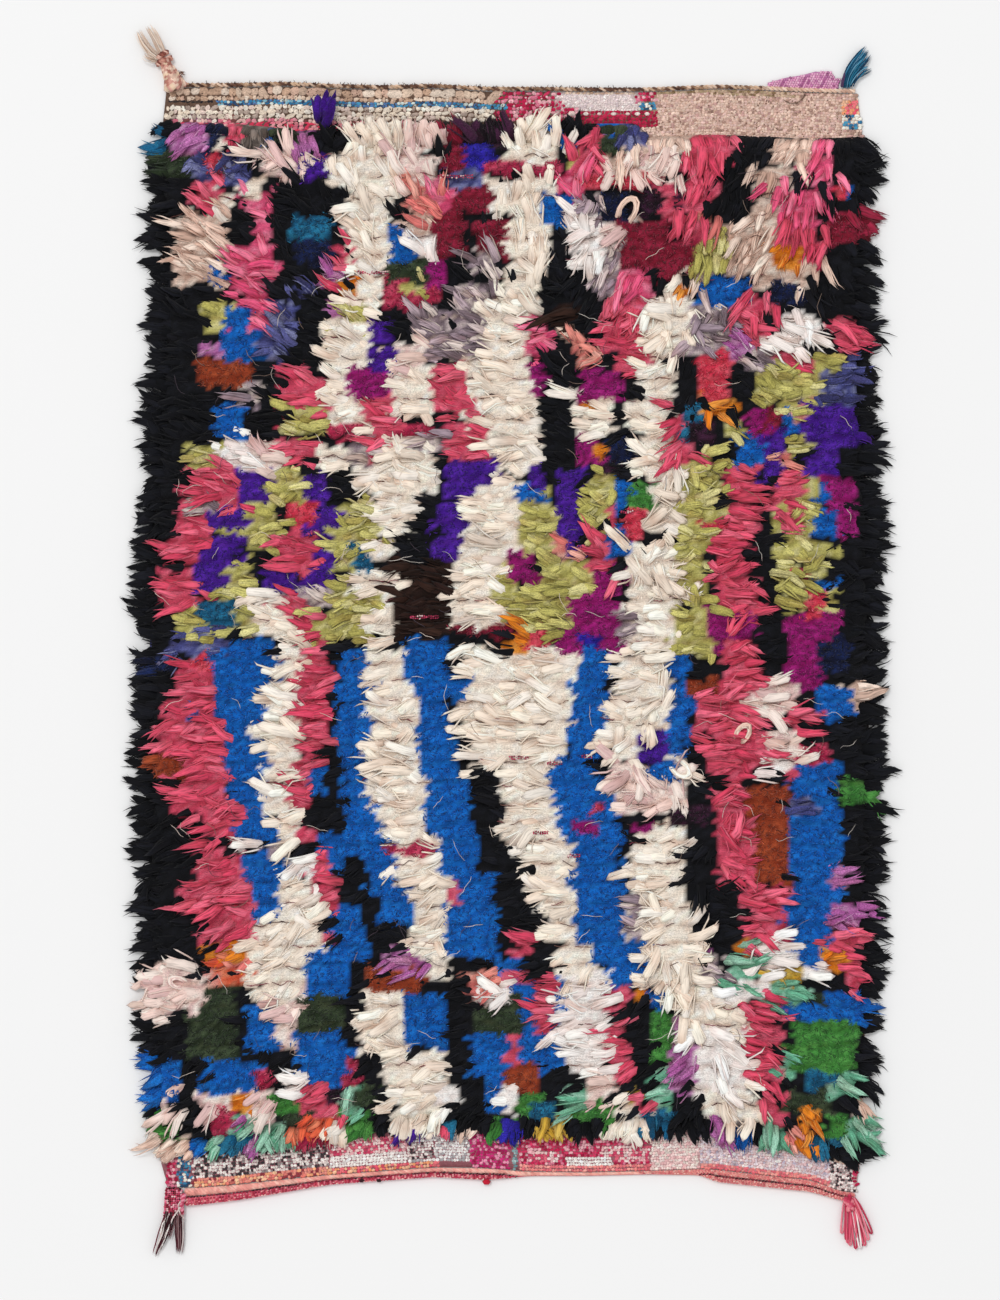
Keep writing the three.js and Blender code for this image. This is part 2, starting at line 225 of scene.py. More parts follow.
# Where each yarn shows: left, right, bottom, top, in centimetres from the middle of the cloth.
# Where patches overlap, the smallest one wins.
PATCHES = {
    "cream": [
        (-22.5, -15, 65, 69.5), (-25, -15.5, 60.5, 65), (-22.5, -16, 49, 60.5), (-21, -17.5, 46, 49),
        (-24.5, -18, 44.5, 47), (-25.5, -19, 36.5, 43), (-24.5, -20, 28, 37), (-17, -10, 30, 37),
        (-26.5, -21, 23, 26.5), (-17, -10, 24, 27.5), (-21.5, -10, 20, 24), (-19.5, -12, 18, 20.5),
        (-18.5, -13.5, 14, 18.5), (-19, -15.5, 11, 13.5), (-21.5, -15, 6.5, 9.5), (-20.5, -16, 1, 6.5),
        (-39.5, -37.5, 65.5, 69.5), (-40, -37, 57, 60), (-36, -33, 59, 62), (-0.5, 6.2, 64, 71),
        (-2.5, 6, 63.6, 65.5), (-4.5, 5.5, 57, 62), (-1.2, 5, 49, 57), (-2, 3.8, 44.5, 49),
        (-6, 2.6, 38, 45), (-8, 3.2, 33.5, 38), (-7.5, 4, 26, 33.5), (-4.5, 3.7, 22.5, 26),
        (-8.5, 1.5, 15.5, 22), (-8.2, 1.2, 11, 15.5), (-8.2, 0, 5, 11), (-8.5, -0.5, 2, 5),
        (-6.5, 9, -5.5, -0.8), (-7.5, 8, -12, -5.5), (-5.8, 7.5, -17, -12), (-2.5, 5.7, -22, -17),
        (-1.5, 6.6, -27, -22), (1, 8, -33.5, -27), (3, 9, -36, -33.5), (4.5, 8.5, -40.5, -36),
        (5.5, 10.5, -45, -40.5), (17, 24, 38, 46), (18, 21.6, 35.5, 38), (17, 22, 32, 35.5),
        (14.8, 21.5, 28.5, 32), (16.5, 21.6, 24, 28.5), (17.5, 22, 20.5, 24.5), (17.5, 23, 14, 21),
        (15, 21.7, 6, 13.5), (15.5, 22.5, 0, 6), (14.5, 22, -1, 5.5), (13.5, 21.5, -7.5, -1.5),
        (12, 21.5, -12, -7.5), (13.5, 17, -16, -12), (19.5, 23.5, -19, -15.5), (15.5, 23.5, -30.5, -24),
        (16, 23, -34.5, -30), (14.8, 24, -37.5, -34.5), (17.5, 24, -42, -37.5), (18, 24.5, -46.5, -42),
        (23.5, 31.5, -51.5, -46.5), (26, 33, -65.5, -60), (8, 13.5, 27.5, 33.5), (-35, -29, 0.5, 6),
        (-33.5, -28.5, -13, -0.5), (-35.5, -28, -12.8, -10.5), (-33.5, -28.5, -19, -13),
        (-34, -29.5, -23.5, -19), (-32, -28.5, -27, -23.5), (-32, -27, -35.5, -32),
        (-34.5, -25.5, -42.5, -35.5), (-35.5, -27.5, -46, -41.5), (-34.5, -29, -48.5, -45),
        (-20, -14.5, -5.5, -1), (-19, -13, -9, -5.5), (-19.5, -12.5, -18, -9), (-20.5, -11.5, -22, -18),
        (-18.5, -11.5, -26, -22), (-17, -9.5, -27.3, -26), (-16, -9.5, -31, -28.7),
        (-16, -7.7, -35.5, -30.5), (-14, -9, -39, -35), (-13, -9, -42.5, -39), (-11.5, -8.5, -45.5, -42),
        (-20.5, -12.5, -55, -46.5), (-18, -9, -60.5, -55), (-16.5, -9, -65.5, -60.5),
        (-24.5, -18.5, -68, -65.5), (11, 18, -67.5, -62), (-7, 4, 28, 33),
    ],
    "white": [
        (-39, -35.5, 23, 27), (6, 12.8, -57.5, -44), (24.5, 31.5, -60.5, -51.5), (33.5, 42, -45.5, -41),
        (27.5, 36, -48, -45), (-15, -10, 51, 54), (8, 12, 51, 57), (-30.5, -28, -60.5, -58),
        (-11, -7, -62, -59.5), (-5.5, 0, -48.5, -45.5), (-30.5, -26.5, -31.5, -28.7), (-2, 0.5, -63, -59.5),
        (34.5, 38.5, -18, -15.5), (-37, -35.5, -28, -26.5), (32.5, 41, 39.5, 43.5),
    ],
    "blush": [
        (-15, -10.5, 65.5, 69), (-15.5, -10, 61.5, 65.2), (-18, -11.5, 36.5, 39.5),
        (-34, -27.5, 61.5, 65.5), (-35.5, -31, 23, 27), (-48.5, -43.5, -46, -43), (-50, -41, -49.5, -44.5),
        (-32.5, -27.5, -55, -46), (9.5, 13.5, -61.5, -57.5), (12.5, 22, 61, 66), (-49.5, -45.5, -63.5, -61),
        (34, 39, -16, -11.5), (13, 18, -23, -16.5), (18, 23, -23, -19), (-35.5, -31.5, -65, -60),
        (-42.5, -36, -62.5, -60), (31, 39, -10, -5.5), (7.5, 17, 51, 57),
    ],
    "navy": [
        (-41, -39, 65, 69.5), (-29, -24, 50.5, 53.5), (11, 15.5, 56, 60), (34.5, 39, 45, 48),
        (12.5, 16, 24, 27), (-49.5, -45, -4, -2), (41, 45.5, -4.5, 1),
    ],
    "brown": [
        (-16.5, -6.5, 1, 11), (5, 9, 42, 44.5),
    ],
    "plum": [
        (-6.5, -0.5, 66.5, 70), (17, 22.5, 57, 60.5), (12, 15, 22, 24), (21, 26.5, -24.5, -22),
        (-25, -22.5, -61.5, -59.5), (23.5, 27, 26.5, 29.5),
    ],
    "blue": [
        (-33, -31.5, 66.5, 68.2), (-16.5, -13.5, 51, 55.5), (7, 8.5, 66, 67.5), (12, 14, 67.5, 70),
        (4.5, 7, 55.5, 59.5), (44.5, 45.7, 59.5, 60.5), (-40.7, -38.9, 47.8, 50.3),
        (-38, -35.5, 41.5, 44.5), (-39, -34, 37.5, 41), (-40, -35.5, 27, 31.5), (25, 31.5, 45, 48.5),
        (36, 38.5, 28, 31.5), (30, 33.5, 23.5, 28.5), (13.5, 15.5, 17, 22), (1, 3.5, 18.5, 21),
        (13.5, 15, 14.5, 16), (12.5, 15.5, 11, 14), (41, 42.5, 18, 21), (40.5, 43.5, 14, 17.5),
        (41.5, 44, 7, 8.5), (-40, -32, -5, 0.3), (-40, -33, -11, -5), (-38.5, -33.5, -17, -11),
        (-38, -33, -24, -17), (-37, -32, -27, -24), (-36, -29, -32.5, -28.5), (-34.5, -32, -37.5, -32.5),
        (-23.5, -18.5, -16, -1), (-22.5, -18.5, -25.5, -16), (-27, -25, -20.5, -17),
        (-25.5, -16, -28.5, -25.5), (-19.5, -16, -33.5, -28.5), (-24.5, -22.5, -31.5, -28),
        (-18, -14, -38, -33.5), (-24, -20, -39, -35), (-25, -19, -43, -38.5), (-27.5, -22, -48, -41.5),
        (-14.5, -8.5, -5, 0.5), (-14.5, -6.5, -8, -5), (-12.5, -8.5, -13, -8), (-12.5, -7.5, -18.5, -13),
        (-11.5, -5.5, -25.5, -18), (-10, -4.5, -31.5, -25.5), (-9, -2, -38, -31.5), (-9, -2, -42.5, -37),
        (9, 13, -5.5, -1), (8, 12.5, -15.5, -5.5), (5.4, 11.5, -20.5, -15.5), (5, 14.5, -25, -20),
        (6.5, 14.5, -32, -25), (7.5, 15.5, -38.5, -32), (8.5, 18.5, -43.5, -38), (12.5, 18.5, -46.5, -43.5),
        (20.5, 24, -5, -2), (21.5, 24.5, -9.5, -6), (21, 23.5, -15.5, -9.5), (18, 21.5, -19.5, -16.5),
        (40.5, 45.5, -10.5, -6), (37.5, 43.5, -23, -16.5), (37, 44, -30.5, -23), (37, 45, -37.5, -30.5),
        (38, 42.5, -43.5, -37.5), (36.5, 48, -50.5, -47), (18.5, 21.5, -49, -47), (-35.5, -32, -55, -48.5),
        (-29, -22.5, -55, -52), (-29, -21, -59.5, -54.5), (-49.5, -44.5, -61.5, -56),
        (-41.5, -33.5, -60.5, -56), (-14.5, -8.5, -54.5, -47), (-5.5, 1, -58.5, -49.5),
        (-3.5, -1, -63, -56.5), (0, 6, -58, -45), (-2, 1, -45, -42.5), (29, 32, -69, -65.5),
        (-43.5, -41.5, -70, -67), (-43, -42, -10, -8.5),
    ],
    "teal": [
        (-49, -47, 65, 68), (-29.5, -24, 53.5, 57), (-22.5, -18, 9.5, 13), (-42.5, -37.5, 2, 5.3),
        (23, 25.5, 26.5, 31.5), (-39.5, -35.5, -70, -66.5), (39.5, 43.5, -60, -57.5), (41, 44, -69, -66.5),
        (3, 5.5, -65, -61.5), (18, 21.5, -66, -62.5), (-10, -7.5, -67, -63.5),
    ],
    "ultramarine": [
        (-6, -2.5, 62.5, 67), (9, 11.5, -1, 1), (-3, 0.5, -68, -64),
    ],
    "periwinkle": [
        (-43.5, -40, 61.5, 65), (-39, -35.5, 61, 65.2), (-9, -4, 60.5, 63), (14, 17.5, 66, 69),
        (-29.5, -26, 45.5, 48), (-33, -28.5, 41.5, 45.5), (-34, -30, 37.5, 41.5), (41.5, 47, 31.5, 38),
        (-46.5, -38, -1.5, 1), (36.5, 41.5, -23, -21),
    ],
    "coral": [
        (-38, -36.5, 65.5, 69.5), (-43, -39, 58, 61.5), (8.5, 12, 61, 68), (23, 30, 64, 69.5),
        (22.8, 28, 59, 64), (22.4, 27, 54, 59), (19, 22, 56, 61.5), (35.2, 42, 48.5, 55),
        (-24, -21.5, 48.5, 53), (-10.5, -6, 32, 37.5), (-10, -4.5, 30.5, 32), (-32, -24.5, 28.5, 35),
        (-31, -27.5, 34, 37), (-20, -16, 28, 32.5), (-31, -26.5, 24, 27), (-19, -16.5, 24, 28),
        (-9, -3.5, 24.5, 28.5), (-44.5, -36.5, 18, 23), (-45.5, -40.5, 13, 18), (-47.5, -41.5, 10, 14),
        (-31.5, -26.5, 9, 15), (-48, -41.5, 4, 9.5), (-30, -27, 0.5, 5), (-32.5, -28, 4.5, 6),
        (12, 17.5, 38.5, 45.5), (14, 18, 35.5, 39), (29.5, 35.5, 41, 46), (42.5, 47, 38.5, 43),
        (35.5, 40.5, 36, 39), (21.5, 24, 24, 30), (29, 33, 14.5, 24), (27.5, 32, 8.5, 14.5),
        (27, 33.5, 4, 8.5), (35, 39, 18.5, 22.5), (36.5, 39, 15, 17.5), (10, 13.5, 9.5, 13.5),
        (37, 39.5, 7.5, 9.5), (12.5, 14, 15, 17.5), (-45, -40, -8, -3), (-47.5, -39, -13, -8),
        (-48, -38, -19, -13), (-46, -38.5, -23, -19), (-42, -36, -26.5, -22.5), (-42.5, -35.5, -32.5, -28),
        (-45, -34.5, -36, -32.5), (-42, -34.5, -41.5, -36), (-28.5, -24.5, -3, 0), (-29, -24.5, -11.5, -3),
        (-28, -25, -16.5, -11.5), (-30, -26.8, -22, -16.5), (-29, -25.5, -27.5, -24.5),
        (-28, -24, -32, -28.5), (-26.5, -23.5, -36.5, -32), (-25.5, -23, -40.5, -39),
        (-8.5, -7, -35.5, -32), (28, 33, -5.5, 0.5), (24, 34, -12.5, -7), (27.5, 33.5, -7, -5.5),
        (26.5, 34.5, -17, -12.5), (26.5, 31.5, -23, -17), (27.5, 33, -33.5, -23), (31, 37.5, -42, -33),
        (37, 41.5, -11.5, -9), (35, 38.5, -19, -17.5), (42.5, 49, -42, -39), (44.5, 48.5, -47, -42.5),
        (12.5, 15.5, -59, -48.5), (12.5, 15.5, -48, -46), (31, 36.5, -59, -48.5), (33, 37, -65, -60.5),
        (2.5, 5.5, -52.5, -45), (-1, 1, -56.5, -52.5), (-0.5, 3, -42.5, -39), (-1.5, 2, -46, -44),
        (-29, -23, -64, -59.5), (-11.5, -9, -68, -66), (16.5, 18.5, -63, -61.5), (23, 26.5, 53.5, 56),
    ],
    "pink": [
        (-36.5, -32, 57, 60.5), (-35, -32.5, 51.5, 57), (-37.5, -31.5, 48, 53), (-37.5, -33, 41, 48),
        (-12, -7.5, 57, 62), (38.5, 42.8, 60.5, 67), (35.5, 41.6, 55, 60), (6, 9.5, 55.5, 63),
        (13, 18.5, 43, 52), (2.3, 4.5, 38, 44),
    ],
    "salmon": [
        (7.5, 10.5, 37, 40.5), (37.5, 39.5, 29, 31.5), (5.5, 7, 11, 13.5), (-15, -11, 57.5, 61.5),
        (-40.5, -36, -46, -43.5), (-7, -1.5, -47, -44.5), (37, 38.5, -68.5, -66.5), (36, 38, 23.5, 25.5),
        (23.5, 27, 54, 57),
    ],
    "red": [
        (-41, -39, 62, 65.2), (9.5, 18, 60.5, 62.2), (43, 44.5, 59.5, 61), (-30, -26, 15.5, 18.5),
        (24.5, 29, 34, 38.5), (25, 29, 32, 34), (15, 17.5, 14, 17.5), (39, 41.5, 3, 6.5), (0.5, 5, -1, 2),
        (-43.5, -40, -4, -1.5), (25.5, 28.5, 14.5, 16),
    ],
    "rose": [
        (-45, -26, 69.5, 71.2), (-22, -12, 69.5, 70.8), (-3.5, 6.5, 62.5, 64), (-17, -10, 44.5, 48.5),
        (-24.5, -8, 27.3, 28.7), (-17, -10, -28.7, -27.3), (38.5, 42, -16.5, -13),
        (-22.5, -20.5, -59.5, -55.5), (-40.5, -37, -67, -60.5), (-28.5, -24.5, -68.5, -66.5),
        (25, 27.5, -68.5, -66), (10.5, 12.5, -23, -21.8), (-34, -32, -59.5, -57.5),
    ],
    "maroon": [
        (-9.5, -6, 63, 69), (-7.5, -3.5, 57, 61), (-11, -6.5, 51.5, 57), (-4.5, -1, 51.5, 56),
        (42.5, 49.5, 53, 57), (14, 21, 50, 56), (19.5, 24.5, 48, 54), (-8, 0, 1, 2), (33.5, 36, 28.5, 31),
    ],
    "purple": [
        (-27, -24.2, 69, 72.5), (-28, -25, 61.5, 65), (-19, -16, 40, 42.7), (-19, -16, 36, 39),
        (-36.5, -33, 18.5, 23), (-28, -24.5, 18.5, 22.5), (-8.5, -2.5, 21, 25), (-9, -5, 19, 21.5),
        (-41, -36, 15, 18), (-28, -21.5, 14.5, 18), (-10.5, -6.5, 14.5, 18.5), (-11, -7.5, 11, 14),
        (-44, -36.5, 10, 14), (-28, -23.5, 7, 14.5), (-33.5, -29, 6.5, 9.5), (-43, -39, 6.5, 10),
        (39, 47, 26, 31.5), (33.5, 37, 21, 28), (39, 43.5, 22, 26.5), (6, 9.5, 11, 23), (2.5, 4, 20.5, 24),
        (17, 21, -16, -12), (-15.5, -11, -68.5, -65.5),
    ],
    "magenta": [
        (-11.5, -9, 47.5, 51), (-22, -17, 32.5, 36.5), (9, 14.5, 32, 36.5), (2.5, 4.5, 32.5, 37),
        (8.5, 11.5, 23.5, 27.5), (42, 46, 17.5, 22), (43.5, 46, 14, 17.5), (-0.5, 3, 8, 12),
        (11, 14.5, 6, 10), (6, 14.5, -1.5, 6.5), (26.5, 32.5, -2, 4.5), (39, 43.5, 0.5, 4),
        (36.5, 41.5, -6.5, 3.5), (31.5, 35.5, 28, 30.5), (8, 11, -25.3, -24), (16, 18.5, -25.3, -24),
    ],
    "orchid": [
        (-45.5, -41, 65, 69.5), (-29.5, -26.5, 65, 68.5), (-25.5, -23.5, 47.5, 50), (-25.5, -23, 43, 45.5),
        (-41.5, -39, 38, 40.5), (29, 32.5, 37.5, 41), (-17, -12, -44, -40.5), (43, 45.5, -33, -30.5),
        (42.5, 49, -38.5, -35), (21, 23.5, -54.5, -50), (21, 24.5, -60, -54.5), (27, 29, -68.5, -65),
        (-36, -33.5, -69, -65), (24, 26.5, -41.3, -40.2),
    ],
    "lime": [
        (7.5, 8.5, 63, 65.5), (24.5, 29, 49.5, 54), (-42, -38, 41, 45), (-23, -19.5, 42.5, 45),
        (-15, -11.5, 46, 48), (-31, -25, 27.5, 31.5), (-43.5, -39, 23, 26.5), (-33, -28, 18.5, 23.5),
        (-39, -31.5, 12.5, 19), (-23, -18, 14.5, 18.5), (-25, -18, 12, 15), (-24, -21.5, 9.5, 12.5),
        (-40.5, -35, 4.5, 11.5), (-24, -18, 3, 7), (-45, -35, 1, 4.5), (-27.5, -20, 0, 3.5),
        (32.5, 42, 31.5, 37), (40.5, 43.5, 36, 38.5), (28.5, 31, 27, 30), (37.5, 40.5, 25, 27.5),
        (10, 13.5, 14, 23), (3.5, 5, 18.5, 21), (0.8, 6, 12, 18.5), (2, 11, 6, 11), (-1.5, 7.5, 2, 7),
        (22, 28.5, 17, 24.5), (22.5, 28.5, 12.5, 17.5), (21.7, 26, 5.5, 12.5), (21.5, 26.5, -2.5, 4.5),
        (38.5, 41.5, 13, 22), (35, 39, 13.5, 19), (35, 44, 10.8, 13.2), (35.5, 42, 7.8, 10.2),
        (36.5, 44, 4, 7), (-2, 0.5, 5, 11),
    ],
    "green": [
        (15.5, 18, 17.5, 21), (43.5, 48.5, -21.5, -19), (18.5, 21, -57.5, -48.5), (37.5, 46.5, -57.5, -50),
        (42, 46.5, -66.5, -63), (-48, -44.5, -67.5, -64), (-32, -29, -63, -60.5), (-23, -18.5, -66, -62.5),
        (-3.5, -1.5, -66.5, -63.5), (1, 4.5, -64, -60), (7.5, 13, -65, -61.5),
    ],
    "dark_green": [
        (-31.5, -29, 66.5, 69.5), (-48.5, -42.5, 62, 66), (12, 14, 65, 67.5), (-16.5, -11.5, 48, 51),
        (-43.5, -37, -56, -45.5), (-29, -22.5, -52.5, -47.5), (-30.5, -27, -65, -63),
        (-21.5, -18.5, -63, -59.5), (-5.5, 1.5, -52.5, -47), (36, 42.5, -63, -60), (39.5, 42, -48.5, -46.5),
    ],
    "mint": [
        (29, 33, -45.5, -42.5), (34, 39.5, -48.5, -46), (18, 21.5, -62.5, -57), (6.5, 10.5, -62.5, -59.5),
        (36, 38, -59.5, -56.5), (42, 47, -61, -58), (45, 48.5, -67, -63.5), (33.5, 37, -68.5, -65),
        (-37.5, -34.5, -66.5, -63), (-34, -30.5, -69, -64.5), (-22.5, -20.5, -63.5, -59.5),
        (-41.5, -39.5, -70, -67),
    ],
    "orange": [
        (35, 39, 49.5, 52.5), (-23.5, -20.5, 46, 48.5), (21, 23.5, 46, 48), (9.5, 11, 30.5, 32.5),
        (25, 30, 30, 32.5), (10.5, 13, 24, 26.5), (-2.5, 2, -1.5, 0.8), (-41.5, -35.5, -44.5, -40.5),
        (41.5, 45.5, -44, -41), (29.5, 31.5, -42, -40), (16, 18.5, -48.5, -45.5),
        (21.5, 23.5, -49.5, -47.5), (-37.5, -35, -62.5, -60.5), (38.5, 41, -69, -62.5),
    ],
    "flame": [
        (-32, -23, -67, -64), (24.5, 28.5, 32, 34), (-39, -35.5, -46, -44),
    ],
    "yellow": [
        (34, 39, -46.5, -43.5), (3.5, 8, -67, -63), (15.5, 16.5, -62, -59.5), (23.5, 25.5, -69, -65.5),
    ],
    "rust": [
        (-42, -35, 34, 37.5), (-49.5, -44, -18.5, -15.5), (-19.5, -12, -47, -43.5), (23.5, 27.5, -7.5, -5),
        (31, 37, -32.5, -19.5), (-1, 3.5, -60, -56.5),
    ],
    "beige": [
        (-45.5, -38, 47.5, 57), (-15, -11, 54, 57), (17.5, 23.5, 65, 70), (35, 40.5, 64, 67.5),
        (32, 38, 54.5, 63.5), (29.5, 36.5, 49.5, 56), (28, 34, 49, 55), (21, 27, 48, 49.5),
        (32.5, 41, 47, 50), (6, 8.5, 40, 42), (43.5, 49, -10, -5.5), (-50, -43.5, -70.5, -66),
        (46.5, 49, -66.5, -61.5), (-8, -4, -67.5, -65.5), (12.5, 17, 63, 66),
    ],
    "mauve": [
        (9, 11.5, 57, 60), (10.5, 14.5, 46, 54), (-13.5, -3.5, 38, 44), (-6, -2.5, 49, 52.5),
        (-7.5, -2.5, 44.5, 48), (-36.5, -33.5, 31, 34.5), (-21.5, -18.5, 23.5, 27), (-13, -8.5, 25, 27.5),
        (-44, -39.5, 17, 19), (-33, -21, 4.5, 7.5), (24, 30, 38.5, 45), (31.5, 35.5, 36.5, 39),
        (13.5, 16, 0, 4), (24.5, 28.5, -45.5, -42), (14.5, 17.5, -40.5, -34.5), (-33, -30, -28.6, -27),
    ],
    "grey": [
        (-37, -32.5, 65.5, 69.5),
    ],
}


def yarn_at(x, y):
    """Names of the yarns that show at places given in centimetres."""
    names = np.full(x.shape, GROUND_YARN, dtype=object)
    smallest = np.full(x.shape, np.inf)
    for name, patches in PATCHES.items():
        for left, right, bottom, top in patches:
            area = (right - left) * (top - bottom)
            inside = (x > left) & (x < right) & (y > bottom) & (y < top) & (area < smallest)
            names[inside] = name
            smallest[inside] = area
    return names


# ---- The woven cloth's outline --------------------------------------------------------------

# Side edges of the cloth under the tufts, in centimetres.
SELVEDGES = np.array([
    # y, left, right
    (-73.5, -45.9, 46.0), (-70, -47.0, 46.6), (-48, -48.3, 47.4), (-28, -48.5, 47.8), (5, -48.5, 47.8),
    (19, -48.0, 47.6), (29, -47.3, 46.8), (40, -46.6, 46.6), (52, -46.8, 46.8), (67, -47.0, 47.0),
    (74.5, -46.2, 46.1),
])
LEFT, RIGHT = 1, 2           # columns of SELVEDGES
# Where the first and last rows of knots are, in centimetres in from the two ends.
PILE_STARTS = np.array([
    # x, in from the twined end, in from the bound end
    (-47, 5.2, 5.2), (-38, 5.2, 6.0), (-33, 5.8, 6.0), (-29, 6.3, 6.2), (-26, 6.0, 6.2), (-23, 7.4, 6.2),
    (-10, 7.0, 6.2), (-2, 6.2, 6.0), (5, 6.2, 6.2), (8, 6.0, 6.2), (10, 4.6, 6.2), (17, 4.6, 6.4),
    (18.5, 6.4, 6.4), (30, 6.5, 5.8), (40, 6.5, 5.4), (47, 6.2, 4.6),
])
TWINED, BOUND = 1, 2         # columns of PILE_STARTS


def corners_of(name):
    return np.array([vertex.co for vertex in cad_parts[name].data.vertices])


def span(name):
    """Where a node starts and ends across the rug."""
    across = corners_of(name)[:, 0]
    return across.min(), across.max()


def line_along(name, pick):
    """A line along one end, read from a node's corners, as a function that gives y for x."""
    corners = corners_of(name)
    across = np.unique(corners[:, 0].round(3))
    along = np.array([pick(corners[np.abs(corners[:, 0] - x) < 2 * MM, 1]) for x in across])
    return lambda x: np.interp(x, across, along)


twined_end = line_along("twined_cord", np.min)
bound_end = line_along("bound_edge", np.max)
bound_rim = line_along("bound_edge", np.min)
flap_top = line_along("knitted_flap", np.max)
flap_foot = line_along("knitted_flap", np.min)


def selvedge(y, column):
    return np.interp(y / CM, SELVEDGES[:, 0], SELVEDGES[:, column]) * CM


def pile_start(x, column):
    return np.interp(x / CM, PILE_STARTS[:, 0], PILE_STARTS[:, column]) * CM


# ---- Meshes from arrays ---------------------------------------------------------------------

def strand_pattern(rings, sides):
    """Corners and faces of one strand: rings of points, then one point at the tip."""
    corners = []
    sizes = []
    for ring in range(rings - 1):
        for j in range(sides):
            here = ring * sides + j
            beside = ring * sides + (j + 1) % sides
            corners += [(here, j, ring), (beside, j + 1, ring)]
            corners += [(beside + sides, j + 1, ring + 1), (here + sides, j, ring + 1)]
            sizes.append(4)
    last = (rings - 1) * sides
    for j in range(sides):
        corners += [(last + j, j, rings - 1), (last + (j + 1) % sides, j + 1, rings - 1)]
        corners.append((rings * sides, j + 0.5, rings))
        sizes.append(3)
    corners += [(j, j, 0) for j in reversed(range(sides))]
    sizes.append(sides)
    return np.array(corners), np.array(sizes)


LOWEST = 0.3 * MM            # no wool reaches further down
MAP_SHIFT = 50               # each strand takes its fibres from a place of its own, in centimetres
UPWARD = (0.0, 0.0, 1.0)


def unit(vectors):
    return vectors / np.linalg.norm(vectors, axis=-1, keepdims=True)


def sideways(turn):
    """Level directions square to the given ones, which are in radians from +X."""
    return np.stack([-np.sin(turn), np.cos(turn), np.zeros(len(turn))], axis=1)


def travelled(path):
    """Lengths from the start of each path to its points."""
    far = np.cumsum(np.linalg.norm(np.diff(path, axis=-2), axis=-1), axis=-1)
    return np.concatenate([np.zeros_like(far[..., :1]), far], axis=-1)


def strand_part(corners, shade, rings, sides, girth, reach):
    """Like strands as flat arrays. girth is metres around each, and reach metres along to each ring."""
    count = len(corners)
    pattern, sizes = strand_pattern(rings, sides)
    vertex = pattern[None, :, 0].astype(int) + corners.shape[1] * np.arange(count)[:, None]
    around = np.broadcast_to(pattern[None, :, 1] / sides, vertex.shape)
    lengthwise = np.broadcast_to(pattern[None, :, 2] / rings, vertex.shape)
    along = reach[:, pattern[:, 2].astype(int)]
    fibre = np.stack([around * girth / CM + random.random((count, 1)) * MAP_SHIFT,
                      along / CM + random.random((count, 1)) * MAP_SHIFT], axis=2)
    return dict(points=corners.reshape(-1, 3), shade=shade.reshape(-1, 3), vertex=vertex.ravel(),
                uv=fibre.reshape(-1, 2), sizes=np.tile(sizes, count),
                cell=np.stack([around, lengthwise], axis=2), count=count)


def tubes(path, width, side, sides, flatness, colour, grooves=0.0):
    """Strands that end in a point. path: N x K points. width: N x (K-1). side: N sideways directions."""
    count, points = path.shape[:2]
    rings = points - 1
    along = unit(np.gradient(path, axis=1))
    across = unit(side[:, None, :] - (side[:, None, :] * along).sum(2, keepdims=True) * along)
    up = np.cross(along, across)
    angle = np.radians([-30, 90, 210]) if sides == 3 else (np.arange(sides) + 0.5) / sides * 2 * np.pi
    ring = (np.cos(angle)[None, None, :, None] * across[:, :rings, None, :]
            + flatness * np.sin(angle)[None, None, :, None] * up[:, :rings, None, :])
    if grooves:
        depth = 1 + grooves * random.normal(0, 1, (count, 1, sides, 1))
        ring = ring * (depth + 0.4 * grooves * random.normal(0, 1, (count, rings, sides, 1)))
    ring = path[:, :rings, None, :] + ring * width[:, :, None, None] / 2
    corners = np.concatenate([ring.reshape(count, -1, 3), path[:, -1:, :]], axis=1)
    shade = np.concatenate([np.repeat(colour[:, :rings], sides, axis=1), colour[:, -1:]], axis=1)
    return strand_part(corners, shade, rings, sides, width.mean(1)[:, None] * 3, travelled(path))


def threads(path, width, sides, colour):
    """Round strands that are each of one width and one colour."""
    count, points = path.shape[:2]
    shade = np.repeat(colour[:, None, :], points, axis=1)
    return tubes(path, np.full((count, points - 1), width), np.tile(UPWARD, (count, 1)), sides, 1.0, shade)


def beads(centres, sizes, heights, turns, colour, rim=0.7, uneven=0.0):
    """Rounded stitches, with painted shade where rim darkens the ring at each foot. sizes are across and
    along, and like heights and turns for all or for each.
    """
    count = len(centres)
    angle = np.arange(6) / 6 * 2 * np.pi
    ring = np.stack([np.cos(angle), np.sin(angle)], axis=1) / 2
    flat = np.concatenate([ring, ring * 0.8, [[0, 0]]])
    rise = np.array([-0.3] * 6 + [0.72] * 6 + [1.0])
    bulge = 1 + uneven * random.normal(0, 1, (count, 6))
    bulge = np.concatenate([bulge, bulge, np.ones((count, 1))], axis=1)
    flat = flat[None] * np.broadcast_to(sizes, (count, 2))[:, None, :] * bulge[:, :, None]
    cosine, sine = (np.broadcast_to(turned, count)[:, None] for turned in (np.cos(turns), np.sin(turns)))
    points = np.stack([flat[..., 0] * cosine - flat[..., 1] * sine,
                       flat[..., 0] * sine + flat[..., 1] * cosine,
                       rise * np.broadcast_to(heights, count)[:, None]], axis=2)
    points = points + centres[:, None, :]
    # Painted shade: the foot ring is darkened by rim, where neighbouring stitches meet.
    shade = colour[:, None, :] * np.where(rise < 0.5, rim, 1.0)[None, :, None]
    reach = np.tile(np.linspace(0, 4 * MM, 3), (count, 1))
    return strand_part(points, shade, 2, 6, 8 * MM, reach)


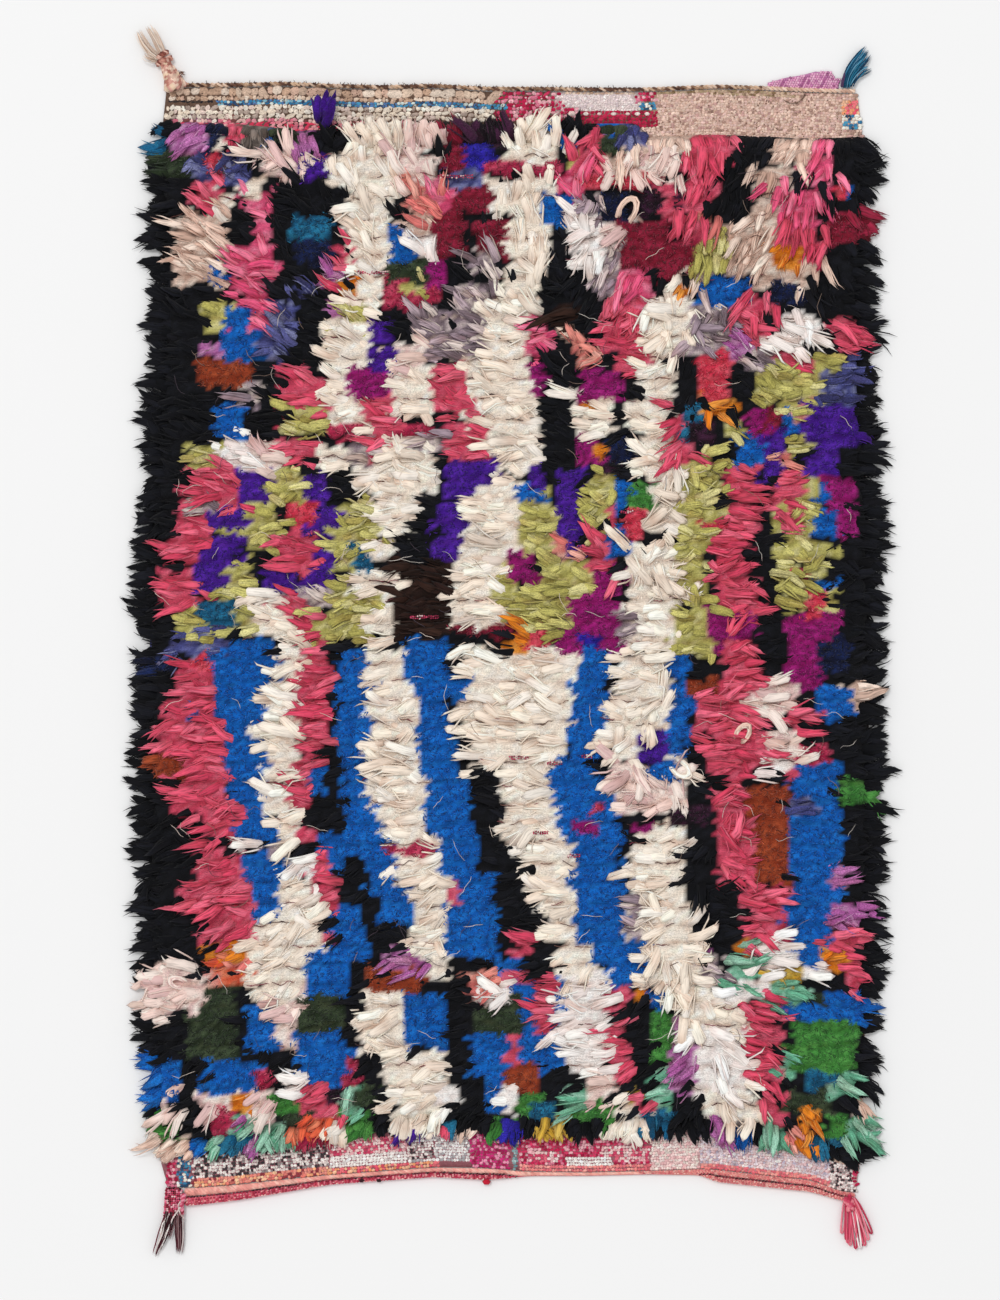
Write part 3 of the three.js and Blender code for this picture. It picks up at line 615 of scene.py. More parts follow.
def new_mesh(name, points, vertex, sizes, shade, fibre, bake, material):
    mesh = bpy.data.meshes.new(name)
    mesh.vertices.add(len(points))
    mesh.vertices.foreach_set("co", points.astype(np.float32).ravel())
    mesh.loops.add(len(vertex))
    mesh.loops.foreach_set("vertex_index", vertex.astype(np.int32))
    mesh.polygons.add(len(sizes))
    mesh.polygons.foreach_set("loop_start", np.concatenate([[0], np.cumsum(sizes)[:-1]]).astype(np.int32))
    mesh.update(calc_edges=True)
    mesh.shade_smooth()
    colour = mesh.color_attributes.new("yarn", "FLOAT_COLOR", "POINT")
    colour.data.foreach_set("color", np.concatenate([shade, np.ones((len(shade), 1))], axis=1).ravel())
    mesh.uv_layers.new(name="Fibre").uv.foreach_set("vector", fibre.astype(np.float32).ravel())
    mesh.uv_layers.new(name="OFBake").uv.foreach_set("vector", bake.astype(np.float32).ravel())
    mesh.materials.append(material)
    piece = bpy.data.objects.new(name, mesh)
    bpy.context.scene.collection.objects.link(piece)
    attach(piece, "root")
    print("PIECE", name, int((sizes - 2).sum()), "triangles")
    return piece


def build(name, parts, material):
    """One mesh from several groups of like strands or stitches, each in its own cell of the bake map."""
    total = sum(part["count"] for part in parts)
    grid = math.ceil(math.sqrt(total))
    starts = np.cumsum([0] + [len(part["points"]) for part in parts])
    cells = []
    first = 0
    for part in parts:
        number = first + np.arange(part["count"])
        place = np.stack([number % grid, number // grid], axis=1)[:, None, :]
        cells.append(((place + 0.12 + 0.76 * part["cell"]) / grid).reshape(-1, 2))
        first += part["count"]
    joined = {key: np.concatenate([part[key] for part in parts])
              for key in ("points", "shade", "uv", "sizes")}
    joined["points"][:, 2] = np.maximum(joined["points"][:, 2], LOWEST)
    vertex = np.concatenate([part["vertex"] + start for part, start in zip(parts, starts)])
    return new_mesh(name, joined["points"], vertex, joined["sizes"], joined["shade"], joined["uv"],
                    np.concatenate(cells), material)


# The two noises in wool: what they are mapped on, and how they are scaled, stretched and toned.
NOISES = {
    "fibres": dict(scale=1.0, stretch=(4.2, 0.5, 1.0), pale_from=0.54, paler=0.2),
    "grain": dict(scale=460.0, stretch=(1.0, 1.6, 1.0), pale_from=0.68, paler=0.6),
}


def add_noise(tree, kind, place, depth, contrast, colour, normal):
    """Tones a colour by a noise that also makes small bumps. Gives the new colour and normal."""
    nodes, links = tree.nodes, tree.links
    look = NOISES[kind]
    stretched = nodes.new("ShaderNodeVectorMath")
    stretched.operation = "MULTIPLY"
    stretched.inputs[1].default_value = look["stretch"]
    links.new(place, stretched.inputs[0])
    texture = nodes.new("ShaderNodeTexNoise")
    texture.inputs["Scale"].default_value = look["scale"]
    texture.inputs["Detail"].default_value = 2.5
    links.new(stretched.outputs[0], texture.inputs["Vector"])
    tone = nodes.new("ShaderNodeMapRange")
    tone.inputs["From Min"].default_value = 0.34
    tone.inputs["From Max"].default_value = look["pale_from"]
    tone.inputs["To Min"].default_value = 1 - contrast
    tone.inputs["To Max"].default_value = 1 + contrast * look["paler"]
    links.new(texture.outputs["Fac"], tone.inputs["Value"])
    shaded = nodes.new("ShaderNodeVectorMath")
    shaded.operation = "SCALE"
    links.new(colour, shaded.inputs[0])
    links.new(tone.outputs["Result"], shaded.inputs["Scale"])
    bump = nodes.new("ShaderNodeBump")
    bump.inputs["Distance"].default_value = depth * MM
    links.new(texture.outputs["Fac"], bump.inputs["Height"])
    if normal:
        links.new(normal, bump.inputs["Normal"])
    return shaded.outputs[0], bump.outputs[0]


def yarn_material(name, sheen=0.2, fibres=(0.5, 0.18), grain=(0.0, 0.0)):
    """Wool. fibres and grain are each a depth in millimetres and a contrast."""
    material = bpy.data.materials.new(name)
    material.use_nodes = True
    tree = material.node_tree
    surface = tree.nodes["Principled BSDF"]
    surface.inputs["Roughness"].default_value = 0.92
    surface.inputs["Specular IOR Level"].default_value = 0.15
    surface.inputs["Sheen Weight"].default_value = sheen
    surface.inputs["Sheen Roughness"].default_value = 0.5
    yarn = tree.nodes.new("ShaderNodeVertexColor")
    yarn.layer_name = "yarn"
    along_yarn = tree.nodes.new("ShaderNodeUVMap")
    along_yarn.uv_map = "Fibre"
    in_space = tree.nodes.new("ShaderNodeTexCoord")
    colour, normal = yarn.outputs["Color"], None
    if fibres[1]:
        colour, normal = add_noise(tree, "fibres", along_yarn.outputs["UV"], *fibres, colour, normal)
    if grain[1]:
        colour, normal = add_noise(tree, "grain", in_space.outputs["Object"], *grain, colour, normal)
    tree.links.new(colour, surface.inputs["Base Color"])
    tree.links.new(normal, surface.inputs["Normal"])
    return material


def pick_colours(codes, count):
    palette = np.array([linear(code) for code in codes])
    chosen = palette[random.integers(0, len(palette), count)]
    return np.clip(chosen * (1 + 0.08 * random.normal(0, 1, (count, 1))), 0, 1)


# ---- The knotted pile -----------------------------------------------------------------------

KNOT_ROWS = 57
KNOT_PITCH = 11.6 * MM       # between knots in a row
ROOT_HEIGHT = 2.5 * MM
RIM_DEPTH = 4                # depth of the wool at the pile's rim, in millimetres
FURROW_SHADE = np.array([0.26, 0.36, 0.4])   # painted shade in the furrows between the rows: what it takes off red, green and blue
PILE_TOP = 24 * MM           # tufts that would stand higher are pressed down
PRESSED = 10 * MM            # and stand at most this much higher
SIDE_RIM = 26 * MM           # how wide the rim of the pile is at its sides, and at its ends
END_RIM = 14 * MM
LOWER_CREAM = 0.08           # cream tufts below this y are a piece of their own
ROW_GAP = 27 * MM            # between the furrows that show
SHOWN_AT = 24 * MM           # how far along its lay a tuft shows

# How the tufts are combed, in degrees turned from +X, at places in centimetres.
LAY = np.array([
    # x, y, direction
    (-46, 69, 200), (-41, 69, 238), (-36, 69, 268), (-31, 69, 298), (-27, 69, 262), (-22, 68, 100),
    (-47, 60, 170), (-38, 62, 150), (-30, 61, 138), (-47, 40, 172), (-47, 10, 184), (-47, -20, 184),
    (-47, -45, 190), (-47, -66, 215), (-30, 45, 150), (-30, 20, 172), (-30, -10, 180), (-30, -40, 200),
    (-30, -60, 215), (-30, -68, 262), (-10, 68, 105), (-10, 52, 135), (-10, 28, 170), (-10, 0, 180),
    (-10, -30, 184), (-10, -56, 192), (-10, -68, 262), (4, 68, 95), (4, 56, 100), (6, 35, 170), (8, 0, 176),
    (8, -30, 182), (8, -56, 188), (8, -68, 265), (14, 66, 268), (16, 52, 248), (19, 35, 182), (19, 0, 178),
    (20, -30, 180), (21, -56, 200), (21, -68, 270), (27, 68, 268), (27, 55, 262), (35, 68, 250),
    (34, 56, 235), (28, 36, 330), (27, 10, 0), (28, -12, 355), (30, -35, 0), (31, -52, 345), (30, -68, 272),
    (42, 68, 258), (40, 55, 270), (38, 30, 0), (38, 5, 0), (38, -25, 0), (40, -50, 345), (39, -66, 290),
    (48, 66, 345), (48, 50, 352), (48, 20, 0), (48, -20, 358), (48, -50, 345), (48, -66, 325),
])


def combed(x, y):
    """Direction of the tufts at places in metres, and how surely they lie that way, 0 to 1."""
    far = np.hypot(x[:, None] / CM - LAY[:, 0], y[:, None] / CM - LAY[:, 1])
    weight = 1 / (far + 1.5) ** 6
    weight /= weight.sum(1, keepdims=True)
    turn = np.radians(LAY[:, 2])
    east = (weight * np.cos(turn)).sum(1)
    north = (weight * np.sin(turn)).sum(1)
    return np.arctan2(north, east) + 0.22 * waves(x, y, 31), np.hypot(east, north)


def waves(x, y, seed):
    """Smooth unevenness from -1 to 1 over the rug."""
    own = np.random.default_rng(seed)
    total = 0
    for _ in range(5):
        turn, size, shift = own.uniform(0, 2 * np.pi), own.uniform(0.03, 0.13), own.uniform(0, 7)
        total = total + np.sin((x * np.cos(turn) + y * np.sin(turn)) * 2 * np.pi / size + shift)
    return total / 3.2


def row_sway(x, y):
    """How far the rows of knots wander up and down, in metres."""
    return 4.5 * MM * waves(x, y, 5) + 3 * MM * waves(2 * x, 2 * y, 6)


def furrow(x, y, width=3.4 * MM):
    """1 along the gaps between the rows of knots, and 0 between them."""
    across = (y + row_sway(x, y)) / ROW_GAP
    return np.exp(-((across - np.round(across)) * ROW_GAP / width) ** 2)


def ragged(x, y):
    """Places moved a little, so that the patches have uneven rims. Takes metres, gives centimetres."""
    across = 0.45 * waves(x, y, 11) + 0.5 * waves(x * 3, y * 3, 13) + 0.3 * waves(x * 8, y * 8, 15)
    along = 0.4 * waves(x, y, 12) + 0.4 * waves(x * 3, y * 3, 14) + 0.3 * waves(x * 8, y * 8, 16)
    return x / CM + across, y / CM + along


def yarn_shown(x, y):
    """The yarn that shows at places in metres, with the patches' uneven rims."""
    names = yarn_at(*ragged(x, y))
    # Each row of loose tufts reaches past the gaps beside it, on the side that the tufts lie to.
    loose = np.isin(names.astype(str), LOOSE_YARNS)
    notch = 11 * MM * np.tanh((x[loose] / CM - 25) / 2) * furrow(x[loose], y[loose], 6.5 * MM)
    beside = yarn_at(*ragged(x[loose] + notch, y[loose]))
    names[loose] = np.where(np.isin(beside.astype(str), LOOSE_YARNS), names[loose], beside)
    return names


def rows_of_knots():
    """Knots in rows over the whole pile, as x, y, direction, how surely they lie that way, and reach."""
    places = []
    for row in range(KNOT_ROWS):
        columns = np.arange(-0.5, 0.5, KNOT_PITCH) + (row % 2) * KNOT_PITCH / 2
        share = (row + 0.5) / KNOT_ROWS
        top = twined_end(columns) - pile_start(columns, TWINED)
        bottom = bound_end(columns) + pile_start(columns, BOUND)
        line = top + (bottom - top) * share
        stagger = np.where(np.arange(len(columns)) % 2, 4.6, -4.6) * MM
        y = line + stagger + 3.0 * MM * waves(columns, line, 4)
        places.append(np.stack([columns, y], axis=1))
    x, y = np.concatenate(places).T
    x = x + random.normal(0, 2.0 * MM, x.shape)
    y = y + random.normal(0, 1.6 * MM, y.shape)
    inside = (x > selvedge(y, LEFT) + 4 * MM) & (x < selvedge(y, RIGHT) - 4 * MM)
    x, y = x[inside], y[inside]
    heading, sureness = combed(x, y)
    # Where the pile parts, more tufts stand up between those that fall to each side.
    parting = np.flatnonzero(sureness < 0.6)
    fan = random.uniform(-1.2, 1.2, len(parting))
    x = np.concatenate([x, x[parting] + random.normal(0, 5 * MM, len(parting))])
    y = np.concatenate([y, y[parting] + random.normal(0, 5 * MM, len(parting))])
    heading = np.concatenate([heading, heading[parting] + fan])
    sureness = np.concatenate([sureness, sureness[parting] * 0.6])
    reach = np.interp(inside_pile(x, y)[2], [0, 25 * MM], [0.66, 1.0])
    return np.stack([x, y, heading, sureness, reach], axis=1)


def end_tufts(column, edge, inward, row):
    """Short tufts that close the pile at one end."""
    x = np.arange(-0.462, 0.462, 9 * MM) + row * 4.5 * MM
    x = x + random.normal(0, 1.5 * MM, x.shape)
    deep = pile_start(x, column) + (row * 7 - 1) * MM + random.normal(0, 1.2 * MM, x.shape)
    y = edge(x) + inward * deep
    heading, sureness = combed(x, y)
    return np.stack([x, y, heading, sureness, np.full(len(x), 0.62)], axis=1)


def side_tufts(column, inward):
    """Tufts that fill the pile along one side."""
    y = np.arange(-0.66, 0.68, 10 * MM)
    y = y + random.normal(0, 2 * MM, y.shape)
    x = selvedge(y, column) + inward * random.uniform(4, 12, y.shape) * MM
    heading, sureness = combed(x, y)
    heading = heading + random.normal(0, 0.25, y.shape)
    return np.stack([x, y, heading, sureness, np.full(len(y), 0.8)], axis=1)


def tie_knots():
    """Where the knots are, how they lie and which yarn they are."""
    groups = [rows_of_knots()]
    for end in ((TWINED, twined_end, -1), (BOUND, bound_end, 1)):
        groups += [end_tufts(*end, row) for row in (0, 1)]
    groups += [side_tufts(LEFT, 1), side_tufts(RIGHT, -1)]
    knots = np.concatenate(groups)
    x, y, heading, sureness, reach = knots.T
    east = SHOWN_AT * sureness * reach * np.cos(heading)
    north = SHOWN_AT * sureness * reach * np.sin(heading)
    names = settle(x, y, yarn_shown(x + east, y + north))
    # A pale tuft that would start on felted wool is left out, so that the felt's rim stays crisp.
    behind = yarn_at(*ragged(x + 0.5 * east, y + 0.5 * north))
    starts_on_felt = (names == "cream") & np.isin(behind.astype(str), FELTED_YARNS)
    names[starts_on_felt] = behind[starts_on_felt]
    return knots, names


def settle(x, y, names):
    """A knot with fewer than two like neighbours takes the yarn of the nearest one."""
    settled = names.copy()
    for knot in range(len(x)):
        far = np.hypot(x - x[knot], y - y[knot])
        far[knot] = np.inf
        if (names[far < 19 * MM] == names[knot]).sum() < 2:
            settled[knot] = names[far.argmin()]
    return settled


def drape(path, floor_gap):
    """Tufts past the cloth's sides hang down to the floor, and none stands too high."""
    x, y = path[..., 0], path[..., 1]
    past = np.maximum(selvedge(y, LEFT) - x, x - selvedge(y, RIGHT))
    past = np.maximum(past, np.maximum(y - twined_end(x), bound_end(x) - y) * 0.6)
    hang = np.clip((past + 6 * MM) / (40 * MM), 0, 1)
    hang = hang * hang * (3 - 2 * hang)
    height = path[..., 2] * (1 - 0.7 * hang) * (1 - 0.13 * furrow(x, y))
    over = np.maximum(height - PILE_TOP, 0)
    height = np.minimum(height, PILE_TOP) + over * PRESSED / (over + PRESSED)
    path[..., 2] = np.maximum(height, floor_gap)
    return path


def lay_strands(lock, hand, colours, offsets, sides, width, thickness, flatness,
                curl=0, longer=1.0, loft=0.0, grooves=0.0):
    """Strands side by side in each lock. offsets are their places across it, from -1 to 1."""
    total = len(offsets)
    count = total // len(lock["root"])
    steps = len(hand["stretches"])

    def again(key):
        return np.repeat(lock[key], count, axis=0)

    turn = again("turn") + np.radians(curl) * np.cumsum(random.normal(0, 0.62, (total, steps)), axis=1)
    climb = again("rise") + np.radians(3) * random.normal(0, 1, (total, steps)) * (curl > 0)
    length = again("length") * longer * (1 + 0.08 * random.normal(0, 1, total) * (curl > 0))
    step = (length * (1 - 0.17 * offsets ** 2))[:, None] * np.array(hand["stretches"])
    level = step * np.cos(climb)
    rise = step * np.sin(climb) * again("lift")[:, None]
    move = np.stack([level * np.cos(turn), level * np.sin(turn), rise], axis=2)
    root = np.column_stack([again("root"), np.full(total, ROOT_HEIGHT)])[:, None, :]
    path = np.concatenate([root, root + np.cumsum(move, axis=1)], axis=1)
    side = sideways(again("turn")[:, 1])
    spread = offsets[:, None] * np.array(hand["profile"]) * hand["spread"] * MM
    path += side[:, None, :] * spread[:, :, None]
    crown = np.sqrt(np.clip(1 - offsets ** 2, 0, 1)) * 0.14 * hand["body"] * MM
    path[:, :, 2] += crown[:, None] * np.linspace(0, 1, steps + 1) ** 0.6 + loft
    path = drape(path, 1.2 * MM)
    widths = width * MM * np.array(thickness) * (1 + 0.1 * random.normal(0, 1, (total, 1)))
    like_lock = random.random(total) < 0.6
    yarn = np.where(like_lock, again("yarn"), random.integers(0, len(colours), total))
    tone = np.minimum(again("tone") * (1 + 0.07 * random.normal(0, 1, total)), 1.08)
    palette = np.array([linear(code) for code in colours])
    # Painted shade: each strand is darkened towards its root by the hand's root tones.
    colour = palette[yarn][:, None, :] * np.array(hand["root"])[None, :, None] * tone[:, None, None]
    # Painted shade along the furrows between the rows.
    colour = colour * (1 - furrow(path[:, :, 0], path[:, :, 1])[:, :, None] * FURROW_SHADE)
    return tubes(path, widths, side, sides, flatness, np.clip(colour, 0, 1), grooves)


def comb_locks(knots, hand, colours):
    """The body and the strands of the given knots."""
    count, steps = len(knots), len(hand["stretches"])
    heading, sureness, reach = knots[:, 2:3], knots[:, 3], knots[:, 4]
    wander = np.radians(hand["bend"]) * np.cumsum(random.normal(0, 0.6, (count, steps)), axis=1)
    doubt = (1 - sureness) * random.normal(0, 0.9, count)
    upright = np.radians(6) * np.clip(1 - sureness, 0, 1)[:, None]
    lock = dict(
        root=knots[:, :2],
        turn=heading + wander + doubt[:, None],
        lift=hand["lift"] * (1 + 0.07 * random.normal(0, 1, count)),
        length=hand["length"] * reach * np.maximum(1 + 0.17 * random.normal(0, 1, count), 0.8) * MM,
        tone=1 + 0.05 * random.normal(0, 1, count),
        rise=np.radians(hand["climb"]) + np.radians(3) * random.normal(0, 1, (count, steps)) + upright,
        yarn=random.integers(0, len(colours), count),
    )
    body = lay_strands(lock, hand, colours, np.zeros(count), hand["facets"], hand["body"], hand["swell"],
                       0.42, loft=-0.12 * hand["body"] * MM, grooves=0.07)
    offsets = np.tile(np.linspace(-1, 1, hand["strands"]), count)
    offsets = offsets + random.normal(0, 0.12, len(offsets))
    strands = lay_strands(lock, hand, colours, offsets, 3, hand["width"], hand["taper"], 0.62,
                          curl=hand["curl"], longer=1.03)
    return [body, strands]


def inside_pile(x, y):
    """How far in from the pile's rim a place is: from the sides, from the ends, and from the bound end."""
    side = np.minimum(x - selvedge(y, LEFT), selvedge(y, RIGHT) - x)
    bound = y - bound_end(x) - pile_start(x, BOUND)
    return side, np.minimum(twined_end(x) - pile_start(x, TWINED) - y, bound), bound


def wool_height(x, y):
    """Height of the dense wool that the knots' feet make together."""
    total = 0
    for east, north in ((0, 0), (6, 0), (-6, 0), (0, 6), (0, -6)):
        names = yarn_at((x + east * MM) / CM, (y + north * MM) / CM)
        depth = np.zeros(x.shape)
        for name in sorted(set(names.ravel())):
            depth[names == name] = HANDS[YARNS[name][1]]["depth"]
        total = total + depth / 5
    side, end, _ = inside_pile(x, y)
    near = np.clip(side / (20 * MM), 0, 1) * np.clip((end - 6 * MM) / (14 * MM), 0, 1)
    near = near * (2 - near)
    height = (total - RIM_DEPTH) * near + RIM_DEPTH
    return height * MM + near * MM * (0.9 * waves(x, y, 21) - 3.6 * furrow(x, y))


def grid_faces(rows, columns):
    """Faces of a grid of points, and the numbers of the points round its rim."""
    number = np.arange((rows + 1) * (columns + 1)).reshape(rows + 1, columns + 1)
    faces = np.stack([number[:-1, :-1], number[:-1, 1:], number[1:, 1:], number[1:, :-1]], axis=2)
    rim = np.concatenate([number[0], number[1:, -1], number[-1, -2::-1], number[-2:0:-1, 0]])
    return faces.reshape(-1, 4), rim


def ground_shade(x, y):
    """The yarns' colours at the pile's foot, with painted shade: darker in the furrows and under loose tufts.
    """
    names = yarn_shown(x, y)
    shade = np.zeros((len(x), 3))
    for name in sorted(set(names)):
        mine = names == name
        _, kind, colours = YARNS[name]
        # Painted shade: the foot of loose tufts is darkened, as it lies in their shade.
        shade[mine] = pick_colours(colours, mine.sum()) * {"felted": 1.0, "roving": 0.97}.get(kind, 0.8)
    # Painted shade along the furrows between the rows.
    return shade * (1 - furrow(x, y)[:, None] * FURROW_SHADE)


def pile_ground():
    """The dense wool under the tips, as one closed cushion in the yarns' colours."""
    rows, columns = 236, 132
    share = np.linspace(0, 1, columns + 1)
    level = np.linspace(0, 1, rows + 1)[:, None]
    line_x = -0.475 + share * 0.95
    low = bound_end(line_x) + pile_start(line_x, BOUND) - 4 * MM
    high = twined_end(line_x) - pile_start(line_x, TWINED) + 4 * MM
    y = low * (1 - level) + high * level
    left, right = selvedge(y, LEFT) + 3 * MM, selvedge(y, RIGHT) - 3 * MM
    x = (left + (right - left) * share).ravel()
    y = y.ravel()
    height = wool_height(x, y) + random.normal(0, 0.5 * MM, x.size)
    faces, rim = grid_faces(rows, columns)
    foot = x.size + np.arange(len(rim))
    sides = np.stack([rim, foot, np.roll(foot, -1), np.roll(rim, -1)], axis=1)
    points = np.concatenate([np.column_stack([x, y, height]),
                             np.column_stack([x[rim], y[rim], np.full(len(rim), 2.6 * MM)])])
    vertex = np.concatenate([faces.ravel(), sides.ravel(), foot[::-1]])
    sizes = np.concatenate([np.full(len(faces) + len(sides), 4), [len(rim)]])
    flat = points[:, :2]
    shade = ground_shade(*flat.T)
    bake = (flat - flat.min(0)) / np.ptp(flat, axis=0) * 0.98 + 0.01
    feet = yarn_material("pile_feet", 0.08, (0.8, 0.14), (1.6, 0.25))
    fibre = points[vertex][:, [1, 0]] / CM
    ground = new_mesh("pile_ground", points, vertex, sizes, shade, fibre, bake[vertex], feet)


def scatter_fuzz():
    """Places all over the pile for short fibres, and the yarns that show there."""
    x, y = np.meshgrid(np.arange(-0.48, 0.48, FUZZ_PITCH), np.arange(-0.7, 0.72, FUZZ_PITCH))
    x = x.ravel() + random.normal(0, FUZZ_PITCH / 2, x.size)
    y = y.ravel() + random.normal(0, FUZZ_PITCH / 2, y.size)
    side, end, _ = inside_pile(x, y)
    kept = (side > 4 * MM) & (end > 0)
    x, y = x[kept], y[kept]
    return x, y, yarn_shown(x, y)


def felt_fuzz(x, y, colours):
    """Short fibres that stand every way on felted wool."""
    count = len(x)
    turn = combed(x, y)[0] + random.normal(0, 0.9, count)
    climb = random.normal(0.34, 0.24, count)
    length = random.uniform(4.5, 8.5, count)[:, None] * MM
    root = np.column_stack([x, y, wool_height(x, y) + random.uniform(-0.5, 2.6, count) * MM])
    way = np.column_stack([np.cos(climb) * np.cos(turn), np.cos(climb) * np.sin(turn), np.sin(climb) * 0.8])
    path = drape(np.stack([root - way * length * 0.3, root + way * length * 0.7], axis=1), 1 * MM)
    colour = np.repeat(pick_colours(colours, count)[:, None, :], 2, axis=1)
    colour = colour * random.normal(1, 0.22, (count, 1, 1))
    colour[:, 1] *= 1.15
    return tubes(path, np.full((count, 1), 2.5 * MM), sideways(turn), 3, 0.8, np.clip(colour, 0, 1))


# Single tufts that stand out of the pattern: x and y of the root in centimetres, direction, yarn.
LONE_TUFTS = [
    (-25.7, 69.3, 96, "purple_tail"), (-25.1, 69.6, 92, "purple_tail"), (-24.5, 69.1, 88, "purple_tail"),
    (-25.1, 68.4, 92, "purple_tail"),
]
# Locks that curl back on themselves: x, y, length in millimetres, turn, yarn.
CURLS = [
    (15.4, 57.4, 34, 65, "beige"), (22.4, -17.0, 28, 320, "cream"), (30.8, -12.4, 24, 60, "beige"),
    (-44.6, -45.6, 20, 160, "blush"),
]


def curl_parts(x, y, size, turn, colours):
    """A lock of four strands that bends round, with both ends down in the pile."""
    share = np.tile(np.linspace(-1, 1, 12), (4, 1))
    angle = np.radians(152) * share
    reach = size * MM * np.array([0.62, 0.54, 0.48, 0.42])[:, None] * random.uniform(0.92, 1.08, (4, 12))
    east, north = reach * np.cos(angle), reach * np.sin(angle) * 0.62
    turn = np.radians(turn)
    path = np.stack([x * CM + east * np.cos(turn) - north * np.sin(turn),
                     y * CM + east * np.sin(turn) + north * np.cos(turn),
                     27 * MM - 15 * MM * share ** 4 + random.normal(0, 0.4 * MM, (4, 12))], axis=2)
    return threads(path, 3.4 * MM, 5, pick_colours(colours, 4))


def stray_hairs(count):
    """Single long fibres that have worked loose and lie on the pile."""
    x, y = random.uniform(-0.45, 0.45, count), random.uniform(-0.64, 0.64, count)
    turn = combed(x, y)[0] + random.normal(0, 0.8, count)
    turn = turn[:, None] + np.cumsum(random.normal(0, 0.35, (count, 7)), axis=1)
    step = random.uniform(3, 6.5, count)[:, None] * MM
    height = 27 * MM + random.normal(0, 1 * MM, (count, 1)) - 5 * MM * np.linspace(-1, 1, 7) ** 2
    path = np.stack([x[:, None] + np.cumsum(step * np.cos(turn), axis=1),
                     y[:, None] + np.cumsum(step * np.sin(turn), axis=1), height], axis=2)
    return threads(path, 0.8 * MM, 3, pick_colours(["D8CFC6", "8A7468", "4A3E48", "E4D4C8"], count))


# Where the coloured weft shows between the rows: left, right and y in centimetres.
WEFT_MARKS = [
    (-0.3, 2.4, -15.6), (4.8, 6.7, -16.3), (9.4, 10.8, -15.4), (2.0, 4.7, -25.6), (7.5, 9.2, -28.7),
    (-13.5, -9.8, 3.2), (-20.5, -16.5, 49.2), (-9.8, -5.2, 62.0), (14.6, 16.4, 17.2),
]


def weft_threads(count):
    """Dark weft, seen here and there along the furrows of the pale wool."""
    x = random.uniform(-0.45, 0.45, count)
    row = np.round(random.uniform(-0.63, 0.66, count) / ROW_GAP) * ROW_GAP
    length = random.uniform(8, 24, count) * MM
    share = np.linspace(-0.5, 0.5, 6)
    along = x[:, None] + length[:, None] * share
    y = row[:, None] + np.zeros(6)
    for _ in range(4):
        y = row[:, None] - row_sway(along, y)
    names = yarn_at(*ragged(x, y.mean(1)))
    pale = np.isin(names.astype(str), ["cream", "white", "blush", "beige"])
    height = 20.8 * MM + random.normal(0, 0.7 * MM, (count, 1)) - 8 * MM * share ** 2
    path = np.stack([along, y + random.normal(0, 0.5 * MM, (count, 6)), height], axis=2)[pale]
    dark = ["5A3A34", "6E3A40", "4A2E2C", "8A6054", "8A3448"]
    return threads(path, 1.2 * MM, 3, pick_colours(dark, len(path)))


def weft_marks():
    """Beads of crimson weft at the places listed."""
    places = []
    for left, right, y in WEFT_MARKS:
        across = np.arange(left, right, 0.3)
        places += [(x, y + shift) for x in across for shift in (-0.12, 0.12)]
    x, y = np.array(places).T * CM
    count = len(x)
    centres = np.column_stack([x, y + random.normal(0, 0.5 * MM, count), np.full(count, 22 * MM)])
    sizes = np.array([3.2, 2.3]) * MM * (1 + 0.15 * random.normal(0, 1, (count, 2)))
    colours = pick_colours(["A8284E", "8A2040", "C24866", "E8C4C4"], count)
    return beads(centres, sizes, 1.4 * MM, random.normal(0.3, 0.4, count), colours)


def pile_wools():
    """The materials of the pile's pieces. Pieces without their own take the last one."""
    wools = dict(
        pile_black=yarn_material("black_wool", 0.03, (0.8, 0.5)),
        pile_cream=yarn_material("cream_wool", 0.2, (0.5, 0.24)),
        pile_blue=yarn_material("blue_felt", 0.08, (0, 0), (1.6, 0.46)),
        pile_purple=yarn_material("purple_felt", 0.08, (0, 0), (1.6, 0.44)),
        pile_green=yarn_material("green_wool", 0.1, (0.7, 0.42), (1.0, 0.3)),
        other=yarn_material("wool", 0.1, (0.8, 0.48)),
    )
    wools["pile_cream_lower"] = wools["pile_cream"]
    return wools


